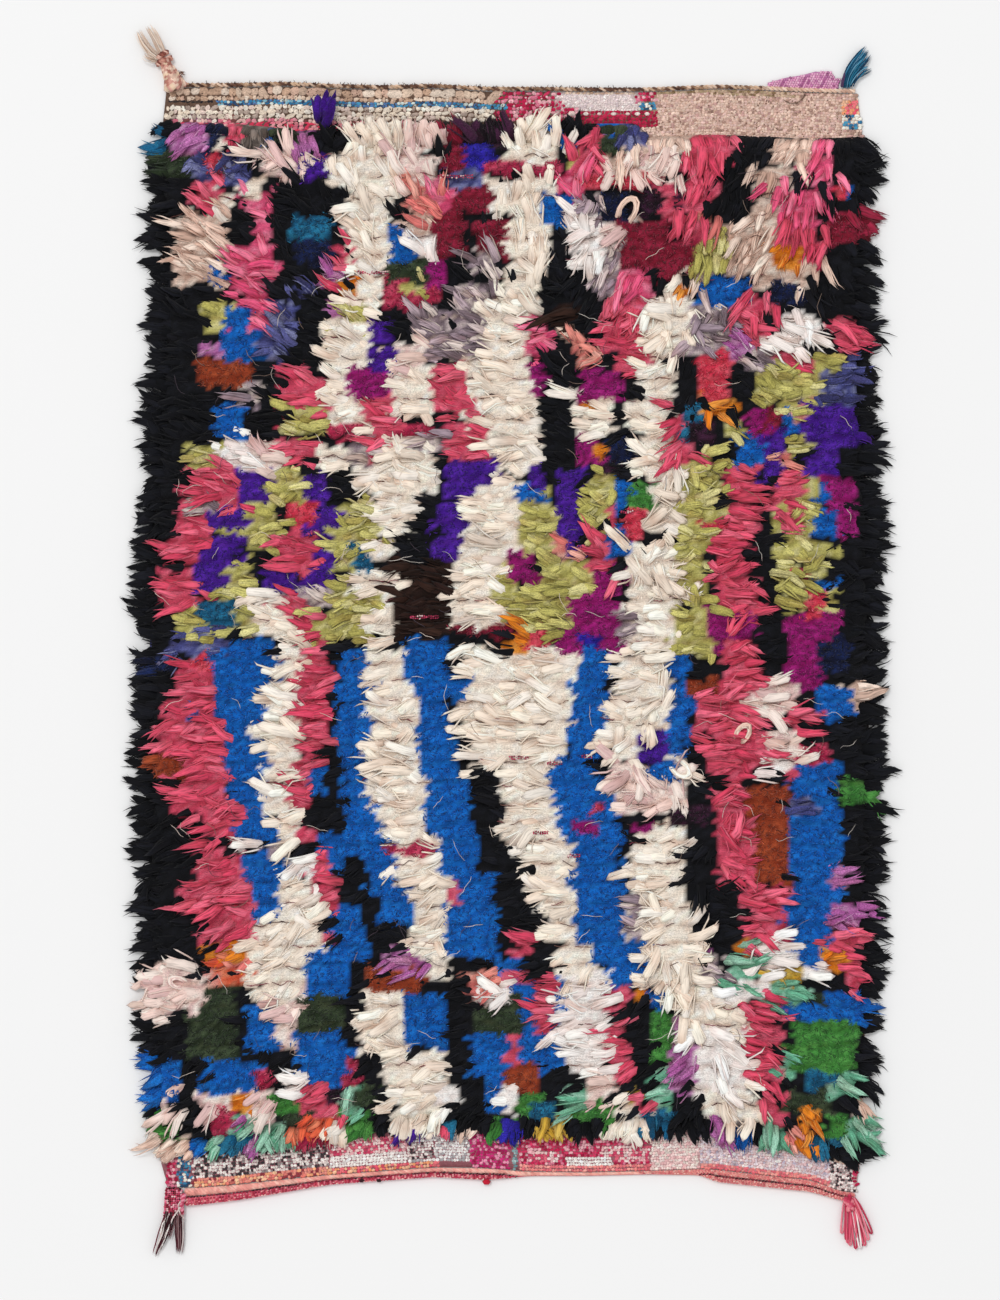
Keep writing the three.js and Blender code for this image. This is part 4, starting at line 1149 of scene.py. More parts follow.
def knot_pile():
    """Combs the knots and stands the fibres of each yarn in turn, and builds the pile's pieces."""
    knots, names = tie_knots()
    lone = [(x * CM, y * CM, math.radians(turn), 1.0, 1.0) for x, y, turn, _ in LONE_TUFTS]
    knots = np.concatenate([knots, lone])
    names = np.concatenate([names, [tuft[3] for tuft in LONE_TUFTS]])
    side, end, _ = inside_pile(knots[:, 0], knots[:, 1])
    outer = side < SIDE_RIM
    rim = outer | (end < END_RIM)
    fuzz_x, fuzz_y, fuzz_names = scatter_fuzz()
    pieces = {}
    for yarn, (piece, kind, colours) in YARNS.items():
        parts = []
        mine = names == yarn
        at_rim = np.zeros_like(mine)
        if kind == "felted":
            here = fuzz_names == yarn
            parts.append(felt_fuzz(fuzz_x[here], fuzz_y[here], colours))
            at_rim, mine = mine & rim, at_rim
        elif yarn in ("black", "coral"):
            at_rim, mine = mine & outer, mine & ~outer
        if at_rim.any():
            parts += comb_locks(knots[at_rim], HANDS["rim"], colours)
        if yarn == "black":
            knots[mine, 4] *= 0.82       # its tufts are shorter
        if yarn == "cream":
            lower = mine & (knots[:, 1] <= LOWER_CREAM)
            pieces["pile_cream_lower"] = comb_locks(knots[lower], HANDS[kind], colours)
            mine = mine & ~lower
        if mine.any():
            parts += comb_locks(knots[mine], HANDS[kind], colours)
        parts += [curl_parts(*place[:4], colours) for place in CURLS if place[4] == yarn]
        pieces.setdefault(piece, []).extend(parts)
    pieces["pile_mixed"] += [stray_hairs(240), weft_threads(1400), weft_marks()]
    wools = pile_wools()
    for name, parts in pieces.items():
        build(name, parts, wools.get(name, wools["other"]))
    pile_ground()


# ---- The woven cloth and its two flat-woven bands --------------------------------------------

CLOTH_TOP = 3.0 * MM
UNDERSIDE = 0.6 * MM
PALETTES = {
    "beige": ["E0C6B0", "D6B8A2", "E8D4C2", "D2AE9A", "C2A088"],
    "olive": ["A08A6A", "8C7454", "B8A080", "CCB298", "D8BCA6"],
    "cream": ["F2E4D2", "E8D6C2", "F8EEE0", "EAD2C6", "B8A498"],
    "pinkish": ["E4788C", "D8405C", "F0A8AC", "CC3854", "E89098"],
    "rosy": ["F0C4BC", "E49AA4", "F6DCD0", "D87488", "7A4A48"],
    "blue": ["4A96BE", "3478A6", "8CC0D2", "5682B8", "D4E0DC", "2E4E74"],
    "dark": ["35302E", "463A34", "26242A"],
    "crimson": ["C42450", "D43C64", "E4809A", "A81C42", "F0B4BC"],
    "wine": ["B41E42", "C62C50", "981A38"],
    "dots": ["FCECE4", "F6DCD4"],
    "insert": ["F6E4E0", "EEDAD8", "FCEEEA", "E8D6D8"],
    "twill": ["E8C8B6", "E2C0B0", "EED0C0", "E4C0B6", "E2C4B2", "DAB4A6", "DEBCB0", "E6C6B6", "B08E80",
              "C89E96"],
    "coral": ["F07880", "FAA474", "E6566C", "F8C09C"],
    "mixed_blue": ["3A7CA6", "ECE8DC", "4A9ABC", "2A4E6C", "F4F0E4"],
    "speckle": ["FCF4EE", "E6DAD4", "3A3638", "9C9290", "F4E4DE", "4A3E40"],
    "orange": ["F6AC80", "EC8478", "FCC8A0", "983C44", "F09888"],
    "white": ["FFFAF4", "F8EEE8", "EADEDA"],
    "silver": ["F4F0EC", "E0DAD8", "B6B2B4", "FEFAF6"],
    "pink_white": ["F0B4B8", "FCE4E0", "E4687E", "F6D0CC", "D44468"],
    "magenta": ["C02268", "D2347C", "EC98B4", "A81E52"],
    "teal": ["8CACB0", "688E94", "B4CCCC"],
    "pale": ["F8D4D0", "FCE8E2", "F0C0C0", "F4E4DA"],
    "lilac": ["F4DADA", "E8DAE0", "C0B4C4", "F8EAE6", "ECC8CA", "DCCCD4"],
    "salmon": ["F4918C", "FAAAA0", "EA7680"],
}
# Stitches of the twined end's band: left and right in centimetres, from and to in millimetres in
# from the cord, the stitch's width and length in millimetres, and the yarns.
TWINED_BAND = [
    (-46.2, -1.4, 0, 11, 12.0, 10.5, "beige"), (-46.2, -1.4, 11, 17, 6.4, 5.6, "beige"),
    (-46.2, -39.6, 17, 20, 6.0, 3.0, "dark"), (-39.6, -0.4, 17, 24, 4.6, 3.6, "blue"),
    (-46.4, -2.4, 24, 42, 7.2, 6.0, "cream"), (-45.6, -12, 42, 47, 6.0, 4.8, "rosy"),
    (-45.6, -12, 47, 64, 8.0, 3.6, "pinkish"), (-14, -2, 42, 52, 5.4, 5.0, "dark"),
    (-2.4, 6.8, 0, 16, 5.2, 4.6, "crimson"), (-2.4, 9.4, 16, 40, 5.0, 4.8, "crimson"),
    (6.8, 16.8, 0, 3, 5.0, 3.0, "beige"), (6.0, 16.2, 3, 9, 3.4, 2.2, "insert"),
    (6.5, 16.5, 9, 15, 3.4, 2.2, "insert"), (7.2, 17.0, 15, 20, 3.4, 2.2, "insert"),
    (8.8, 17.5, 20, 25, 3.4, 2.2, "insert"),
    (19.4, 37.2, 0, 4, 4.2, 3.6, "olive"), (26.5, 38.6, 4, 8, 4.2, 3.6, "olive"),
    (6.4, 19.6, 25, 47, 5.0, 4.6, "wine"), (16.6, 19.4, 0, 25, 4.8, 4.2, "crimson"),
    (17.4, 19.4, 47, 74, 4.2, 3.6, "twill"),
    (17.0, 19.4, 14, 24, 4.4, 3.4, "mixed_blue"), (19.4, 44.2, 0, 74, 4.2, 3.6, "twill"),
    (44.2, 46.4, 0, 9, 4.4, 3.6, "twill"), (44.2, 46.6, 9, 28, 4.4, 4.0, "coral"),
    (44.2, 46.9, 28, 48, 4.4, 4.0, "mixed_blue"), (44.2, 47.0, 48, 74, 4.2, 3.6, "twill"),
]
BOUND_BAND = [
    (-46.2, -44.8, 0, 46, 4.4, 4.2, "crimson"), (-44.8, -42.8, 0, 52, 4.0, 3.8, "mixed_blue"),
    (-42.8, -24.4, 0, 11, 4.2, 4.2, "orange"), (-42.8, -24.4, 11, 46, 3.8, 3.8, "speckle"),
    (-24.4, -9.6, 0, 8, 4.0, 4.0, "coral"), (-24.4, -14, 8, 24, 4.0, 4.0, "white"),
    (-24.4, -14, 24, 46, 3.8, 3.8, "pink_white"), (-21.2, -10.4, 12, 34, 3.4, 3.4, "speckle"),
    (-14, -5.6, 8, 46, 3.8, 3.8, "silver"), (-5.6, -0.2, 0, 46, 3.8, 3.8, "magenta"),
    (0.1, 0.8, 0, 42, 3.4, 3.4, "teal"), (0.8, 18.6, 0, 9, 4.0, 4.0, "salmon"),
    (0.8, 18.6, 9, 46, 3.8, 3.8, "crimson"), (2.5, 6.5, 12, 27, 3.8, 3.8, "pink_white"),
    (7.2, 13.6, 8, 20, 4.0, 3.8, "white"), (12, 18.6, 12, 34, 3.8, 3.8, "pink_white"),
    (18.6, 25.2, 0, 46, 3.8, 3.6, "pale"), (25.2, 42.6, 0, 7, 4.0, 3.8, "salmon"),
    (25.2, 42.6, 7, 46, 3.8, 3.6, "lilac"), (42.6, 46.4, 0, 36, 3.2, 3.2, "speckle"),
    (42.6, 46.6, 36, 46, 3.8, 3.6, "beige"), (45.6, 46.4, 8, 50, 4.0, 4.0, "crimson"),
]


COARSE = 4.8                 # stitches wider than this, in millimetres, are uneven and have deeper painted shade at their rims


def stitch_rows(left, right, first, last, wide, long):
    """A zone's stitches in rows: x in centimetres, how far in and how wide in millimetres."""
    rows = max(1, round((last - first) / long))
    places = []
    for row in range(rows):
        widths = wide * np.exp(random.normal(0, 0.3, 4 + int((right - left) * 10 / wide * 1.3)))
        ends = left * 10 + np.cumsum(widths) - widths[0] * random.random()
        middles = ends - widths / 2
        fits = middles < right * 10 - wide * 0.3
        deep = np.full(fits.sum(), first + (row + 0.5) / rows * (last - first))
        places.append(np.column_stack([middles[fits] / 10, deep, widths[fits]]))
    return np.concatenate(places).T


def zone_area(left, right, first, last):
    return (right - left) * (last - first)


def band_stitches(zones, edge, inward):
    """Stitches in rows along one end of the cloth. The smallest zone wins where zones overlap."""
    parts = []
    for *box, wide, long, palette in zones:
        x, deep, widths = stitch_rows(*box, wide, long)
        covered = x < box[0]
        for left, right, first, last, *_ in zones:
            if zone_area(left, right, first, last) < zone_area(*box):
                covered |= (x > left) & (x < right) & (deep > first) & (deep < last)
        x, deep, widths = x[~covered] * CM, deep[~covered] * MM, widths[~covered]
        count = len(x)
        if not count:
            continue
        y = edge(x) + inward * deep + random.normal(0, 0.08 * long * MM, count)
        centres = np.column_stack([x, y, np.full(count, CLOTH_TOP - 0.3 * MM)])
        lengths = long * 1.36 * (1 + 0.12 * random.normal(0, 1, count))
        sizes = np.column_stack([widths * (1.42 if wide > 9 else 1.3), lengths]) * MM
        colour = pick_colours(PALETTES[palette], count)
        heights = np.clip(0.18 * long, 0.8, 1.5) * MM * (1 + 0.1 * random.normal(0, 1, count))
        turns = np.radians(random.normal(12, 14, count))
        # Painted shade at the stitches' rims, deeper on the coarse ones.
        rim, uneven = (0.3, 0.17) if wide > COARSE else (0.6, 0.0)
        parts.append(beads(centres, sizes, heights, turns, colour, rim, uneven))
    return parts


# Small spots of another yarn over the bands: left and right in centimetres, from and to in
# millimetres in from the cord, how many, their width and length in millimetres, and colours.
SPECKS = [
    (-46, -1, 1, 44, 380, 2.4, 1.4, ["5A4034", "4A342C", "7A5848"]),
    (19.6, 46, 3, 70, 260, 2.2, 1.3, ["8A6656", "A07C6C", "7A5A4E"]),
    (-2, 6.2, 2, 38, 34, 3.4, 2.8, ["F4C8CC", "E8A0AE"]),
]
# The pale dots under the set-in patch: x in centimetres, width and length in millimetres.
PALE_DOTS = np.array([
    (8.0, 12, 9), (9.9, 9, 6), (11.7, 7, 5), (13.6, 9, 5.5), (15.5, 7, 5), (16.8, 9, 6), (18.1, 8, 6),
])


def weave_specks():
    """The spots and dots of other yarns on the twined end's band."""
    parts = []
    for left, right, first, last, count, wide, long, codes in SPECKS:
        x = random.uniform(left, right, count) * CM
        y = twined_end(x) - random.uniform(first, last, count) * MM
        sizes = np.array([wide, long]) * MM * (1 + 0.3 * random.normal(0, 1, (count, 2)))
        centres = np.column_stack([x, y, np.full(count, CLOTH_TOP + 0.35 * MM)])
        turns = random.normal(0.9, 0.7, count)
        parts.append(beads(centres, np.abs(sizes), 1.0 * MM, turns, pick_colours(codes, count)))
    x = PALE_DOTS[:, 0] * CM
    centres = np.column_stack([x, twined_end(x) - 29 * MM, np.full(len(x), CLOTH_TOP)])
    pale = pick_colours(PALETTES["dots"], len(x))
    return [*parts, beads(centres, PALE_DOTS[:, 1:] * MM, 1.8 * MM, 0.0, pale)]


def weave_bands():
    """The two flat-woven ends, and a thread that lies loose on one of them."""
    wool = yarn_material("band_wool", 0.15, (0.3, 0.16), (0.5, 0.28))
    parts = band_stitches(TWINED_BAND, twined_end, -1) + weave_specks()
    line, _ = along_path([(394, 738, 4, 1.2), (391, 728, 6, 1.2), (384, 721, 6, 1.2), (373, 719, 6, 1.2),
                          (363, 725, 4, 1.2)], 14)
    parts.append(threads(line[None], 1.2 * MM, 4, linear("5A4638")[None]))
    build("band_twined", parts, wool)
    build("band_bound", band_stitches(BOUND_BAND, bound_end, 1), wool)


def grid_sheet(name, low, high, rows, columns, underside, top, shade_at, material):
    """A thin closed cloth between two lines. low and high: N x 2 places, from left to right."""
    level = np.linspace(0, 1, rows + 1)[:, None, None]
    flat = (low * (1 - level) + high * level).reshape(-1, 2)
    upper, rim = grid_faces(rows, columns)
    offset, after = len(flat), np.roll(rim, -1)
    sides = np.stack([rim, rim + offset, after + offset, after], axis=1)
    faces = np.concatenate([upper, upper[:, ::-1] + offset, sides])
    points = np.concatenate([np.column_stack([flat, np.full(offset, height)]) for height in (top, underside)])
    share = np.stack(np.meshgrid(np.linspace(0, 1, columns + 1), np.linspace(0, 1, rows + 1)), axis=2)
    share = share.reshape(-1, 2) * (0.48, 0.98)
    bake = np.concatenate([share + 0.01, share + (0.51, 0.01)])
    vertex = faces.ravel()
    shade = shade_at(flat[:, 0], flat[:, 1])
    shade = np.concatenate([shade, shade * 0 + linear("8A6A5C")])
    fibre = points[vertex][:, :2] / CM
    return new_mesh(name, points, vertex, np.full(len(faces), 4), shade, fibre, bake[vertex], material)


def bow_sides(cloth):
    """Moves a sheet's sides onto the selvedges, which bow out a little between the ends."""
    mesh = cloth.data
    points = np.zeros(len(mesh.vertices) * 3)
    mesh.vertices.foreach_get("co", points)
    points = points.reshape(-1, 3)
    x, y = points[:len(points) // 2, :2].T.copy()
    left_side = [np.argmin(x + y), np.argmax(y - x)]
    right_side = [np.argmin(y - x), np.argmax(x + y)]
    left, right = (np.interp(points[:, 1], y[side], x[side]) for side in (left_side, right_side))
    across = (points[:, 0] - left) / (right - left)
    left, right = selvedge(points[:, 1], LEFT), selvedge(points[:, 1], RIGHT)
    points[:, 0] = left + (right - left) * across
    mesh.vertices.foreach_set("co", points.ravel())
    mesh.update()


def cloth_shade(x, y):
    """Colours of the cloth: dark between the stitches, and under the pile the yarn's colour darkened, partly
    painted shade and partly the dark warp.
    """
    names = yarn_at(x / CM, y / CM)
    shade = np.zeros((len(x), 3))
    for name in np.unique(names):
        # Painted shade and dark warp: under the pile the yarn's colour is darkened and mixed with brown.
        shade[names == name] = linear(YARNS[name][2][0]) * 0.6 + linear("3A261E") * 0.2
    twined = (twined_end(x) - y) / CM
    bound = (y - bound_end(x)) / CM
    shade[twined < 5.0] = linear("6A5244")
    shade[(twined < 7.6) & (x > 0.19)] = linear("C8A490")
    shade[(twined < 2.6) & (x > 0.055) & (x < 0.175)] = linear("D2BEBC")
    shade[bound < 5.5] = linear("9A6068")
    shade[(bound < 5.5) & (x > 0.185)] = linear("C89C9C")
    side = np.minimum(x - selvedge(y, LEFT), selvedge(y, RIGHT) - x)
    shade[(side < 14 * MM) & (twined > 5) & (bound > 4)] = linear("5A3C34")
    return shade


def weave_cloth():
    """The cloth that carries the pile and the bands."""
    rows, columns = 88, 56
    share = np.linspace(0, 1, columns + 1)
    ends = []
    for _, left, right in SELVEDGES[[0, -1]]:
        ends.append((left + (right - left) * share) * CM)
    low = np.column_stack([ends[0], bound_end(ends[0]) + 0.3 * MM])
    high = np.column_stack([ends[1], twined_end(ends[1]) - 0.3 * MM])
    weave = yarn_material("cloth_weave", 0.1, (0.3, 0.2), (0.8, 0.2))
    cloth = grid_sheet("cloth", low, high, rows, columns, UNDERSIDE, CLOTH_TOP, cloth_shade, weave)
    bow_sides(cloth)
    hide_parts("rug")


# ---- Cords, tassels and the knitted flap ------------------------------------------------------

def along_path(points, count):
    """A smooth line through points, each x, y, height and width in millimetres."""
    points = np.array(points, float) * MM
    far = travelled(points[:, :3])
    at = np.linspace(0, far[-1], count)
    line = np.stack([np.interp(at, far, points[:, k]) for k in range(4)], axis=1)
    for _ in range(max(2, count // 12)):
        line[1:-1] = (line[:-2] + 2 * line[1:-1] + line[2:]) / 4
    return line[:, :3], line[:, 3]


def sideways_of(line):
    """Directions across a line and up from it, at each of its points."""
    along = unit(np.gradient(line, axis=0))
    across = unit(np.cross(UPWARD, along))
    return across, np.cross(along, across)


def twist(points, plies, pitch, codes, count, sides=5, fill=0.58, spots=1, squash=1.0):
    """A cord of plies twisted together. spots is how many points keep one colour."""
    line, width = along_path(points, count)
    across, up = sideways_of(line)
    radius = width * (1 - fill) / 2
    paths = []
    for ply in range(plies):
        phase = travelled(line) / (pitch * MM) * 2 * np.pi + 2 * np.pi * ply / plies
        aside, above = np.cos(phase) * radius, np.sin(phase) * radius * squash
        paths.append(line + across * aside[:, None] + up * above[:, None])
    widths = np.tile(width[:-1] * fill, (plies, 1))
    colour = pick_colours(codes, plies * (count // spots + 1)).reshape(plies, -1, 3)
    colour = np.repeat(colour, spots, axis=1)[:, :count]
    return tubes(np.array(paths), widths, np.tile(UPWARD, (plies, 1)), sides, 1.0, colour)


def fray(points, strands, codes, strand_width, flare=1.0, curl=10, shortest=0.7, sides=4):
    """Loose ends that follow a path, and spread as wide as it is."""
    line, width = along_path(points, 9)
    across, up = sideways_of(line)
    offset = random.uniform(-1, 1, strands)
    rise = random.uniform(-1, 1, strands) * np.sqrt(1 - offset ** 2)
    reach = random.uniform(shortest, 1.0, strands)
    at = np.linspace(0, 1, 8) * reach[:, None] * 8

    def take(values):
        return np.stack([np.interp(at, np.arange(9), values[:, k]) for k in range(3)], axis=2)

    half = np.interp(at, np.arange(9), width) / 2 * (1 + (flare - 1) * at / 8)
    stray = np.cumsum(random.normal(0, 1, (strands, 8)), axis=1) * np.radians(curl) * 2.2 * MM
    path = take(line) + take(across) * (offset[:, None] * half + stray)[:, :, None]
    path += take(up) * (rise[:, None] * half * 0.7)[:, :, None]
    path[:, :, 2] = np.maximum(path[:, :, 2], 1.0 * MM)
    swell = strand_width * MM * np.array([0.9, 1, 1, 1, 1, 0.95, 0.8])
    swell = swell * (1 + 0.12 * random.normal(0, 1, (strands, 1)))
    # Painted shade: each end is darker where it starts in the bunch, and lighter towards its tip.
    colour = pick_colours(codes, strands)[:, None, :] * np.linspace(0.8, 1.05, 8)[None, :, None]
    return tubes(path, swell, np.tile(UPWARD, (strands, 1)), sides, 1.0, np.clip(colour, 0, 1))


def bead_row(x, y, height, size, turns, colour):
    """Small stitches at one height or at their own. size is across and along, in millimetres."""
    centres = np.column_stack([x, y, np.broadcast_to(height, len(x))])
    return beads(centres, np.array(size) * MM, 1.6 * MM, turns, colour)


BEIGE_PINK = ["E2BEAA", "D09A8C", "EACCB8", "B47668", "E8CBAE"]
KNOT_YARN = ["9A5A4C", "C08878", "7A4238", "E0B8A8"]
STRAW = ["F0DCCC", "E4CCB8", "F6E8DC", "D8BCA8"]
TEAL_YARN = ["1E6E92", "2A86AC", "12486A", "6CA8C6", "1A3C5C", "2A7A9C"]
PINK_YARN = ["D84A68", "C83A58", "E87088", "B42A48", "F08C98"]
MAROON_YARN = ["4A1C26", "6A2432", "E8DCD8", "2E1A1E", "8A6A6C"]
# The paths of the tassels' parts are x, y, height and width in millimetres.


def tie_beige_tassel(wool):
    """A flat plait with a knot on it and two frayed bunches."""
    parts = [
        twist([(-452, 741, 4, 30), (-455, 752, 6, 23), (-460, 763, 7, 19), (-464, 774, 8, 16)],
              7, 24, BEIGE_PINK, 44, 4, 0.4, 2),
        twist([(-436, 744, 4, 7), (-444, 750, 6, 10), (-450, 760, 7, 9), (-456, 770, 8, 7)],
              3, 14, BEIGE_PINK, 26, 5, 0.6, 2),
        twist([(-475, 772, 8, 9), (-465, 776, 13, 10), (-455, 781, 8, 9)], 3, 9, KNOT_YARN, 20, 5, 0.6, 2),
        twist([(-474, 779, 8, 8), (-467, 785, 12, 9), (-460, 789, 8, 8)], 3, 9, KNOT_YARN, 18, 5, 0.6, 2),
        fray([(-466, 782, 8, 9), (-473, 797, 8, 10), (-480, 811, 8, 10), (-489, 826, 5, 8)],
             20, STRAW, 1.6, 1.1, 9, 0.82),
        fray([(-472, 780, 8, 9), (-485, 788, 8, 10), (-495, 802, 8, 10), (-502, 818, 5, 8)],
             20, STRAW, 1.6, 1.1, 9, 0.82),
        fray([(-474, 776, 10, 9), (-484, 781, 9, 9), (-492, 788, 6, 7)], 9, STRAW, 1.5, 1.2, 22),
        fray([(-448, 752, 7, 8), (-443, 757, 8, 9), (-438, 755, 6, 7)],
             10, ["6A4A3C", "8A6454"], 1.3, 1.2, 26),
    ]
    piece = build("tassel_beige", parts, wool)
    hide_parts("tassel_twined_left")


def tie_teal_tassel(wool):
    """A bunch of teal yarn with a few ends of other colours."""
    parts = [
        fray([(445, 741, 5, 8), (446, 756, 7, 9), (456, 773, 8, 9), (466, 786, 8, 7), (475, 798, 5, 3)],
             15, TEAL_YARN, 1.9, 1.0, 6, 0.86),
        fray([(449, 741, 6, 9), (451, 756, 9, 10), (460, 770, 9, 9), (470, 781, 8, 6), (479, 791, 5, 3)],
             15, TEAL_YARN, 1.9, 1.0, 6, 0.86),
        fray([(453, 742, 6, 7), (456, 754, 8, 9), (465, 766, 9, 9), (475, 776, 7, 6), (481, 786, 5, 3)],
             13, TEAL_YARN, 1.9, 1.0, 6, 0.8),
        fray([(454, 744, 7, 7), (460, 756, 8, 8), (470, 764, 8, 7), (479, 769, 5, 3)],
             10, TEAL_YARN, 1.8, 1.0, 8, 0.8),
        fray([(455, 746, 7, 4), (463, 755, 8, 3), (473, 760, 6, 3), (483, 766, 4, 2)],
             5, ["163E58", "1E5470", "C8CCC8"], 1.5, 1.0, 8, 0.9),
        fray([(442, 742, 6, 5), (443, 752, 7, 6), (448, 764, 7, 5)],
             8, ["6A4A70", "4A3C60", "8A6A88"], 1.9, 1.0, 6, 0.7),
    ]
    piece = build("tassel_teal", parts, wool)
    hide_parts("tassel_twined_right")


def tie_dark_tassel(wool):
    """A woven tab that ends in dark loose yarn, with pale cords laid over it."""
    rows, columns = np.divmod(np.arange(14 * 8), 8)
    count = len(rows)
    down = rows / 13
    x = (-452.5 - 2.5 * down + (columns - 3.5) * 2.9) * MM + random.normal(0, 0.3 * MM, count)
    y = (-735 - 36 * down) * MM + random.normal(0, 0.3 * MM, count)
    tab_yarn = ["D8587A", "B83A56", "8E2438", "E48CA0", "C84A66", "F2C0C4"]
    core = fray([(-451, -732, 6, 22), (-452, -752, 7, 23), (-454, -774, 7, 22)],
                16, ["A83450", "C04860", "8A2A3C"], 4.6, 1.0, 3, 0.97)
    core["points"][:, 2] = np.minimum(core["points"][:, 2], 8.2 * MM)
    parts = [
        core,
        bead_row(x, y, 8.2 * MM, (3.9, 3.4), random.normal(0.4, 0.3, count), pick_colours(tab_yarn, count)),
        fray([(-460, -768, 8, 14), (-467, -788, 8, 16), (-474, -806, 7, 14), (-479, -825, 5, 8)],
             16, MAROON_YARN, 2.2, 1.0, 10, 0.8),
        fray([(-446, -768, 8, 14), (-446, -790, 8, 15), (-446, -808, 7, 13), (-447, -826, 5, 8)],
             15, MAROON_YARN, 2.2, 1.0, 10, 0.75),
        fray([(-453, -764, 9, 20), (-456, -786, 8, 20), (-460, -802, 6, 16)],
             12, MAROON_YARN, 2.2, 1.0, 12, 0.7),
        twist([(-437, -748, 10, 3), (-444, -758, 14, 3), (-454, -772, 13, 3), (-462, -792, 11, 3),
               (-470, -814, 6, 3)], 2, 8, ["F4ECE8", "E0D0CC"], 26, 4, 0.6, 3),
        twist([(-436, -742, 9, 3), (-446, -752, 14, 3), (-445, -764, 13, 3), (-438, -774, 9, 3)],
              2, 8, ["EADCD8", "B89C98"], 18, 4, 0.6, 3),
        twist([(-458, -766, 12, 3), (-468, -780, 11, 3), (-470, -796, 9, 3), (-464, -806, 6, 3)],
              2, 8, ["F4ECE8", "C8B0AC"], 20, 4, 0.6, 3),
        twist([(-438, -740, 9, 7), (-442, -754, 12, 7), (-441, -768, 9, 6)],
              3, 10, ["C84A66", "8E2438", "E48CA0"], 18, 5, 0.6, 2),
    ]
    piece = build("tassel_dark", parts, wool)
    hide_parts("tassel_bound_left")


def pink_loops():
    """Eleven cords that each run out and back, side by side, and one of them is white."""
    turns = np.linspace(-1, 1, 11) + random.normal(0, 0.05, 11)
    turns = turns[:, None]
    lap = np.linspace(0, 1, 17)
    fall, arms = np.sin(np.pi * lap), np.cos(np.pi * lap)
    tip = 68 - 20 * turns ** 2 + random.normal(0, 1.0, (11, 1))
    across = 452 + 4 * turns + fall ** 0.8 * (turns * 16 + 10) + 2.7 * np.sign(arms) * np.abs(arms) ** 0.4
    height = 7 + 4 * fall - 6 * fall ** 6 + 2 * np.cos(turns * 9)
    loops = np.stack([across, -745 - fall * tip, height], axis=2) * MM
    loops[6, :, 2] += 2.5 * MM * fall
    colour = np.array([linear(("F08A9A", "C03454", "E8647C")[k % 3]) for k in range(11)])
    colour[6] = linear("F8ECEA")
    return threads(loops, 2.7 * MM, 5, colour)


def tie_pink_tassel(wool):
    """A bunch of looped cords on a short twisted neck."""
    parts = [
        pink_loops(),
        twist([(448, -744, 7, 15), (452, -752, 8, 15), (454, -762, 8, 16)], 4, 24, PINK_YARN, 20, 5, 0.5, 2),
        fray([(453, -752, 6, 14), (457, -768, 6, 18), (461, -784, 5, 24), (463, -796, 4, 24)],
             16, PINK_YARN, 2.2, 1.0, 5, 0.75),
    ]
    piece = build("tassel_pink", parts, wool)
    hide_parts("tassel_bound_right")


def tie_tassels():
    wool = yarn_material("tassel_wool", 0.15, (0.4, 0.2))
    tie_beige_tassel(wool)
    tie_teal_tassel(wool)
    tie_dark_tassel(wool)
    tie_pink_tassel(wool)


def short_ends(start):
    """Short dark ends that stand out of the twined cord."""
    count = 150
    x = random.uniform(start + 4 * MM, start + 0.62, count)
    root = np.column_stack([x, twined_end(x) + 5 * MM, np.full(count, 5 * MM)])
    turn = random.normal(np.pi / 2, 0.9, count)
    reach = random.uniform(2.0, 5.5, count) * MM
    ways = np.column_stack([np.cos(turn), np.sin(turn), np.full(count, 0.1)]) * reach[:, None]
    path = root[:, None, :] + ways[:, None, :] * np.linspace(0, 1, 4)[None, :, None]
    return threads(path, 1.1 * MM, 3, pick_colours(["4A362C", "2E221C", "6E5444"], count))


def lay_twined_cord():
    """The cord along the twined end, dark for most of its length and pale at the right."""
    start, end = span("twined_cord")
    places = np.linspace(start + 1 * MM, end - 1 * MM, 60)
    line = [(x / MM, twined_end(x) / MM + 3.6, 3.9, 7.0) for x in places]
    dark = ["A8866C", "C8A88C", "6A4A3C", "DDBFA8", "8A6A54", "54392E"]
    pale = ["E8CAB4", "DCBAA4", "F0D6C2", "CDA692"]
    parts = [twist(line[:52], 2, 13, dark, 560, sides=4, spots=4),
             twist(line[51:], 2, 13, pale, 90, sides=4, spots=4), short_ends(start)]
    piece = build("twined_yarn", parts, yarn_material("cord_wool", 0.15, (0.3, 0.22)))
    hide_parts("twined_cord")


SALMON_YARN = ["F49C94", "EE8A86", "F8AEA4"]
# The binding's two plies: their yarns up to where the salmon yarn starts.
PLY_YARNS = [["F6B0A2", "F2A096", "FABEB0"], ["E8647C", "DE5470", "F07E8A", "C63C58"]]
SALMON_BEADS = ["F4A29C", "DC6A74", "FCC4BA", "E88488"]
# Rows of small stitches on the lower ply: how far across it, as a share, and their yarns.
PLY_BEADS = [
    (0.5, ["E8788C", "F4A8A8", "C2344C"]), (0.25, ["9A2440", "C2344C", "F4A8A8", "E8788C"]),
    (0.75, ["F8C4BC", "D04460", "F09A9C", "B02C48"]),
]
# Small knots on the binding: x, y, width and length in millimetres, and colour.
BINDING_KNOTS = [(-201, -722, 9, 7, "3A1A20"), (-178, -722, 8, 6, "2E1A1C"), (-34, -724, 12, 9, "C01C34")]


def binding_knots():
    x, y, wide, long = np.array([knot[:4] for knot in BINDING_KNOTS], float).T * MM
    centres = np.column_stack([x, y, np.full(len(x), 5.5 * MM)])
    colour = np.array([linear(knot[4]) for knot in BINDING_KNOTS])
    return beads(centres, np.column_stack([wide, long]), 3.5 * MM, 0.0, colour)


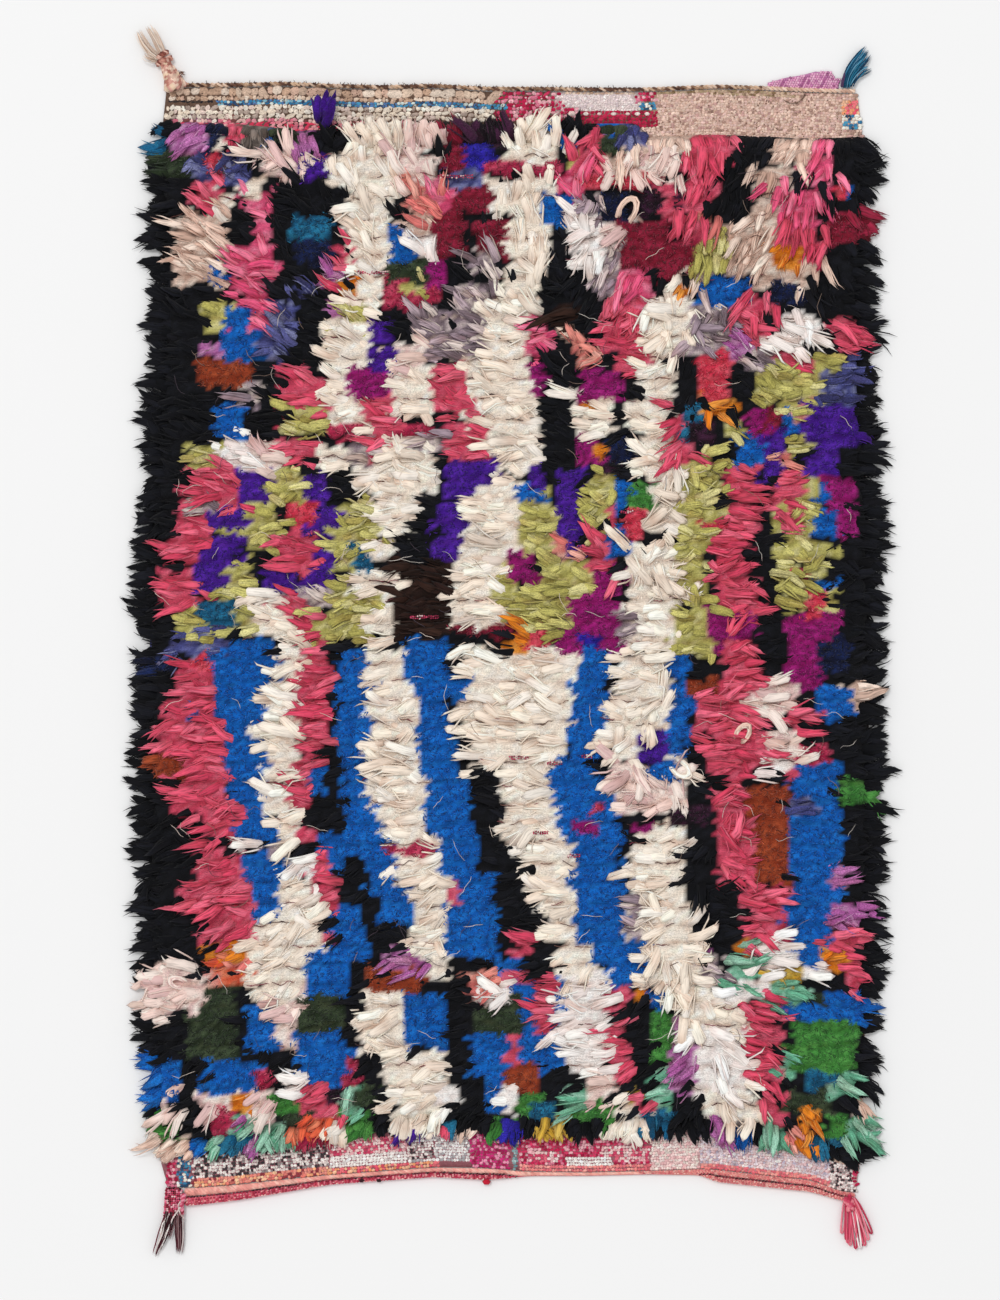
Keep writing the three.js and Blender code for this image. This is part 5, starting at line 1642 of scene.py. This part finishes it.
def lay_binding():
    """The rolled binding along the bound end: two plies at the sides, and one in the middle."""
    start, end = span("bound_edge")
    start -= 9 * MM
    places = np.linspace(start + 1 * MM, end - 1 * MM, 120)
    full = (bound_end(places) - bound_rim(places)) / MM
    two = np.clip((full - 8) / 5, 0, 1)
    upper = full * (1 - 0.5 * two)
    lower = np.maximum(full * 0.52 * two, 1.2)
    top = bound_end(places) / MM
    level = np.full(len(places), 4.0)
    parts = []
    for middle, width, codes in ((top - upper / 2, upper, PLY_YARNS[0]),
                                 (top - full + lower / 2, lower, PLY_YARNS[1])):
        line = np.column_stack([places / MM, middle, level, width])
        for points, yarns, count in ((line[:84], codes, 290), (line[83:], SALMON_YARN, 130)):
            ply = twist(points, 3, 15, yarns, count, 4, 0.6, 2, 0.42)
            ply["points"][:, 2] = np.clip(ply["points"][:, 2], LOWEST, 8.6 * MM)
            parts.append(ply)

    x = np.arange(0.17, end - 4 * MM, 4.2 * MM)
    for share in (0.28, 0.7):
        wide = np.interp(x, places, upper)
        parts.append(bead_row(x + share * 3 * MM, bound_end(x) - share * wide * MM,
                              (3.9 + 0.36 * wide) * MM, (3.2, 2.2), random.normal(0.5, 0.3, len(x)),
                              pick_colours(SALMON_BEADS, len(x))))
    # Dark stitches lie in the gap between the plies.
    x = np.arange(start + 4 * MM, end - 4 * MM, 4.4 * MM)
    x = x[np.interp(x, places, two) > 0.3]
    y = bound_end(x) - np.interp(x, places, upper) * MM + random.normal(0, 0.4 * MM, len(x))
    sizes = np.array([4.6, 2.0]) * (1 + 0.2 * random.normal(0, 1, (len(x), 2)))
    parts.append(bead_row(x, y, 6.2 * MM, sizes, random.normal(0.35, 0.3, len(x)),
                          pick_colours(["8A2038", "5A1626", "3A1A20", "B03048"], len(x))))
    for share, codes in PLY_BEADS:
        x = np.arange(start + 3 * MM, end - 3 * MM, 4.0 * MM)
        x = x[np.interp(x, places, two) > 0.5] + share * MM
        wide = np.interp(x, places, lower)
        y = bound_end(x) - (np.interp(x, places, upper) + share * wide) * MM
        salmon = pick_colours(["F4A29C", "DC6A74", "FCC8BE", "E88488"], len(x))
        colour = np.where((x > 0.165)[:, None], salmon, pick_colours(codes, len(x)))
        parts.append(bead_row(x, y, (3.9 + 0.36 * wide) * MM, (3.4, 2.3),
                              random.normal(0.5, 0.3, len(x)), colour))
    parts.append(binding_knots())
    piece = build("binding_yarn", parts, yarn_material("binding_wool", 0.15, (0.4, 0.2)))
    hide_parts("bound_edge")


def flap_stitches(start, end):
    """Slanting columns of knitted stitches, some of them darker."""
    places = []
    for number, column in enumerate(np.arange(start + 2 * MM, end - 2 * MM, 3.3 * MM)):
        for row in np.arange(flap_foot(column), flap_top(column) + 0.5 * MM, 3.0 * MM):
            places.append((column + 0.5 * (row - flap_foot(column)), row, number))
    x, y, number = np.array(places).T
    rib = (number % 8 == 5) | (random.random(len(x)) < 0.16)
    dark = pick_colours(["B06494", "BC74A4"], len(x))
    colour = np.where(rib[:, None], dark, pick_colours(["DE9CC0", "E6AAC8", "D690B8", "E8B4CE"], len(x)))
    return bead_row(x, y, 2.2 * MM, (3.6, 4.6), np.where(number % 2, 0.6, -0.5), colour)


def knit_flap():
    """The knitted strip behind the twined end: a backing, and the stitches on it."""
    start, end = span("knitted_flap")
    x = np.linspace(start + 0.5 * MM, end - 0.5 * MM, 41)
    foot = flap_foot(x)
    top = np.maximum(flap_top(x), foot + 1 * MM)
    low, high = np.column_stack([x, foot]), np.column_stack([x, top])

    def shade_at(x, _):
        return np.tile(linear("C080AC"), (len(x), 1))

    backing = grid_sheet("flap_knit", low, high, 8, 40, 0.5 * MM, 2.4 * MM, shade_at,
                         yarn_material("flap_back", 0.1))
    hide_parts("knitted_flap")
    piece = build("flap_stitches", [flap_stitches(start, end)], yarn_material("flap_wool", 0.15, (0.3, 0.15)))


knot_pile()
weave_bands()
weave_cloth()
lay_twined_cord()
lay_binding()
tie_tassels()
knit_flap()
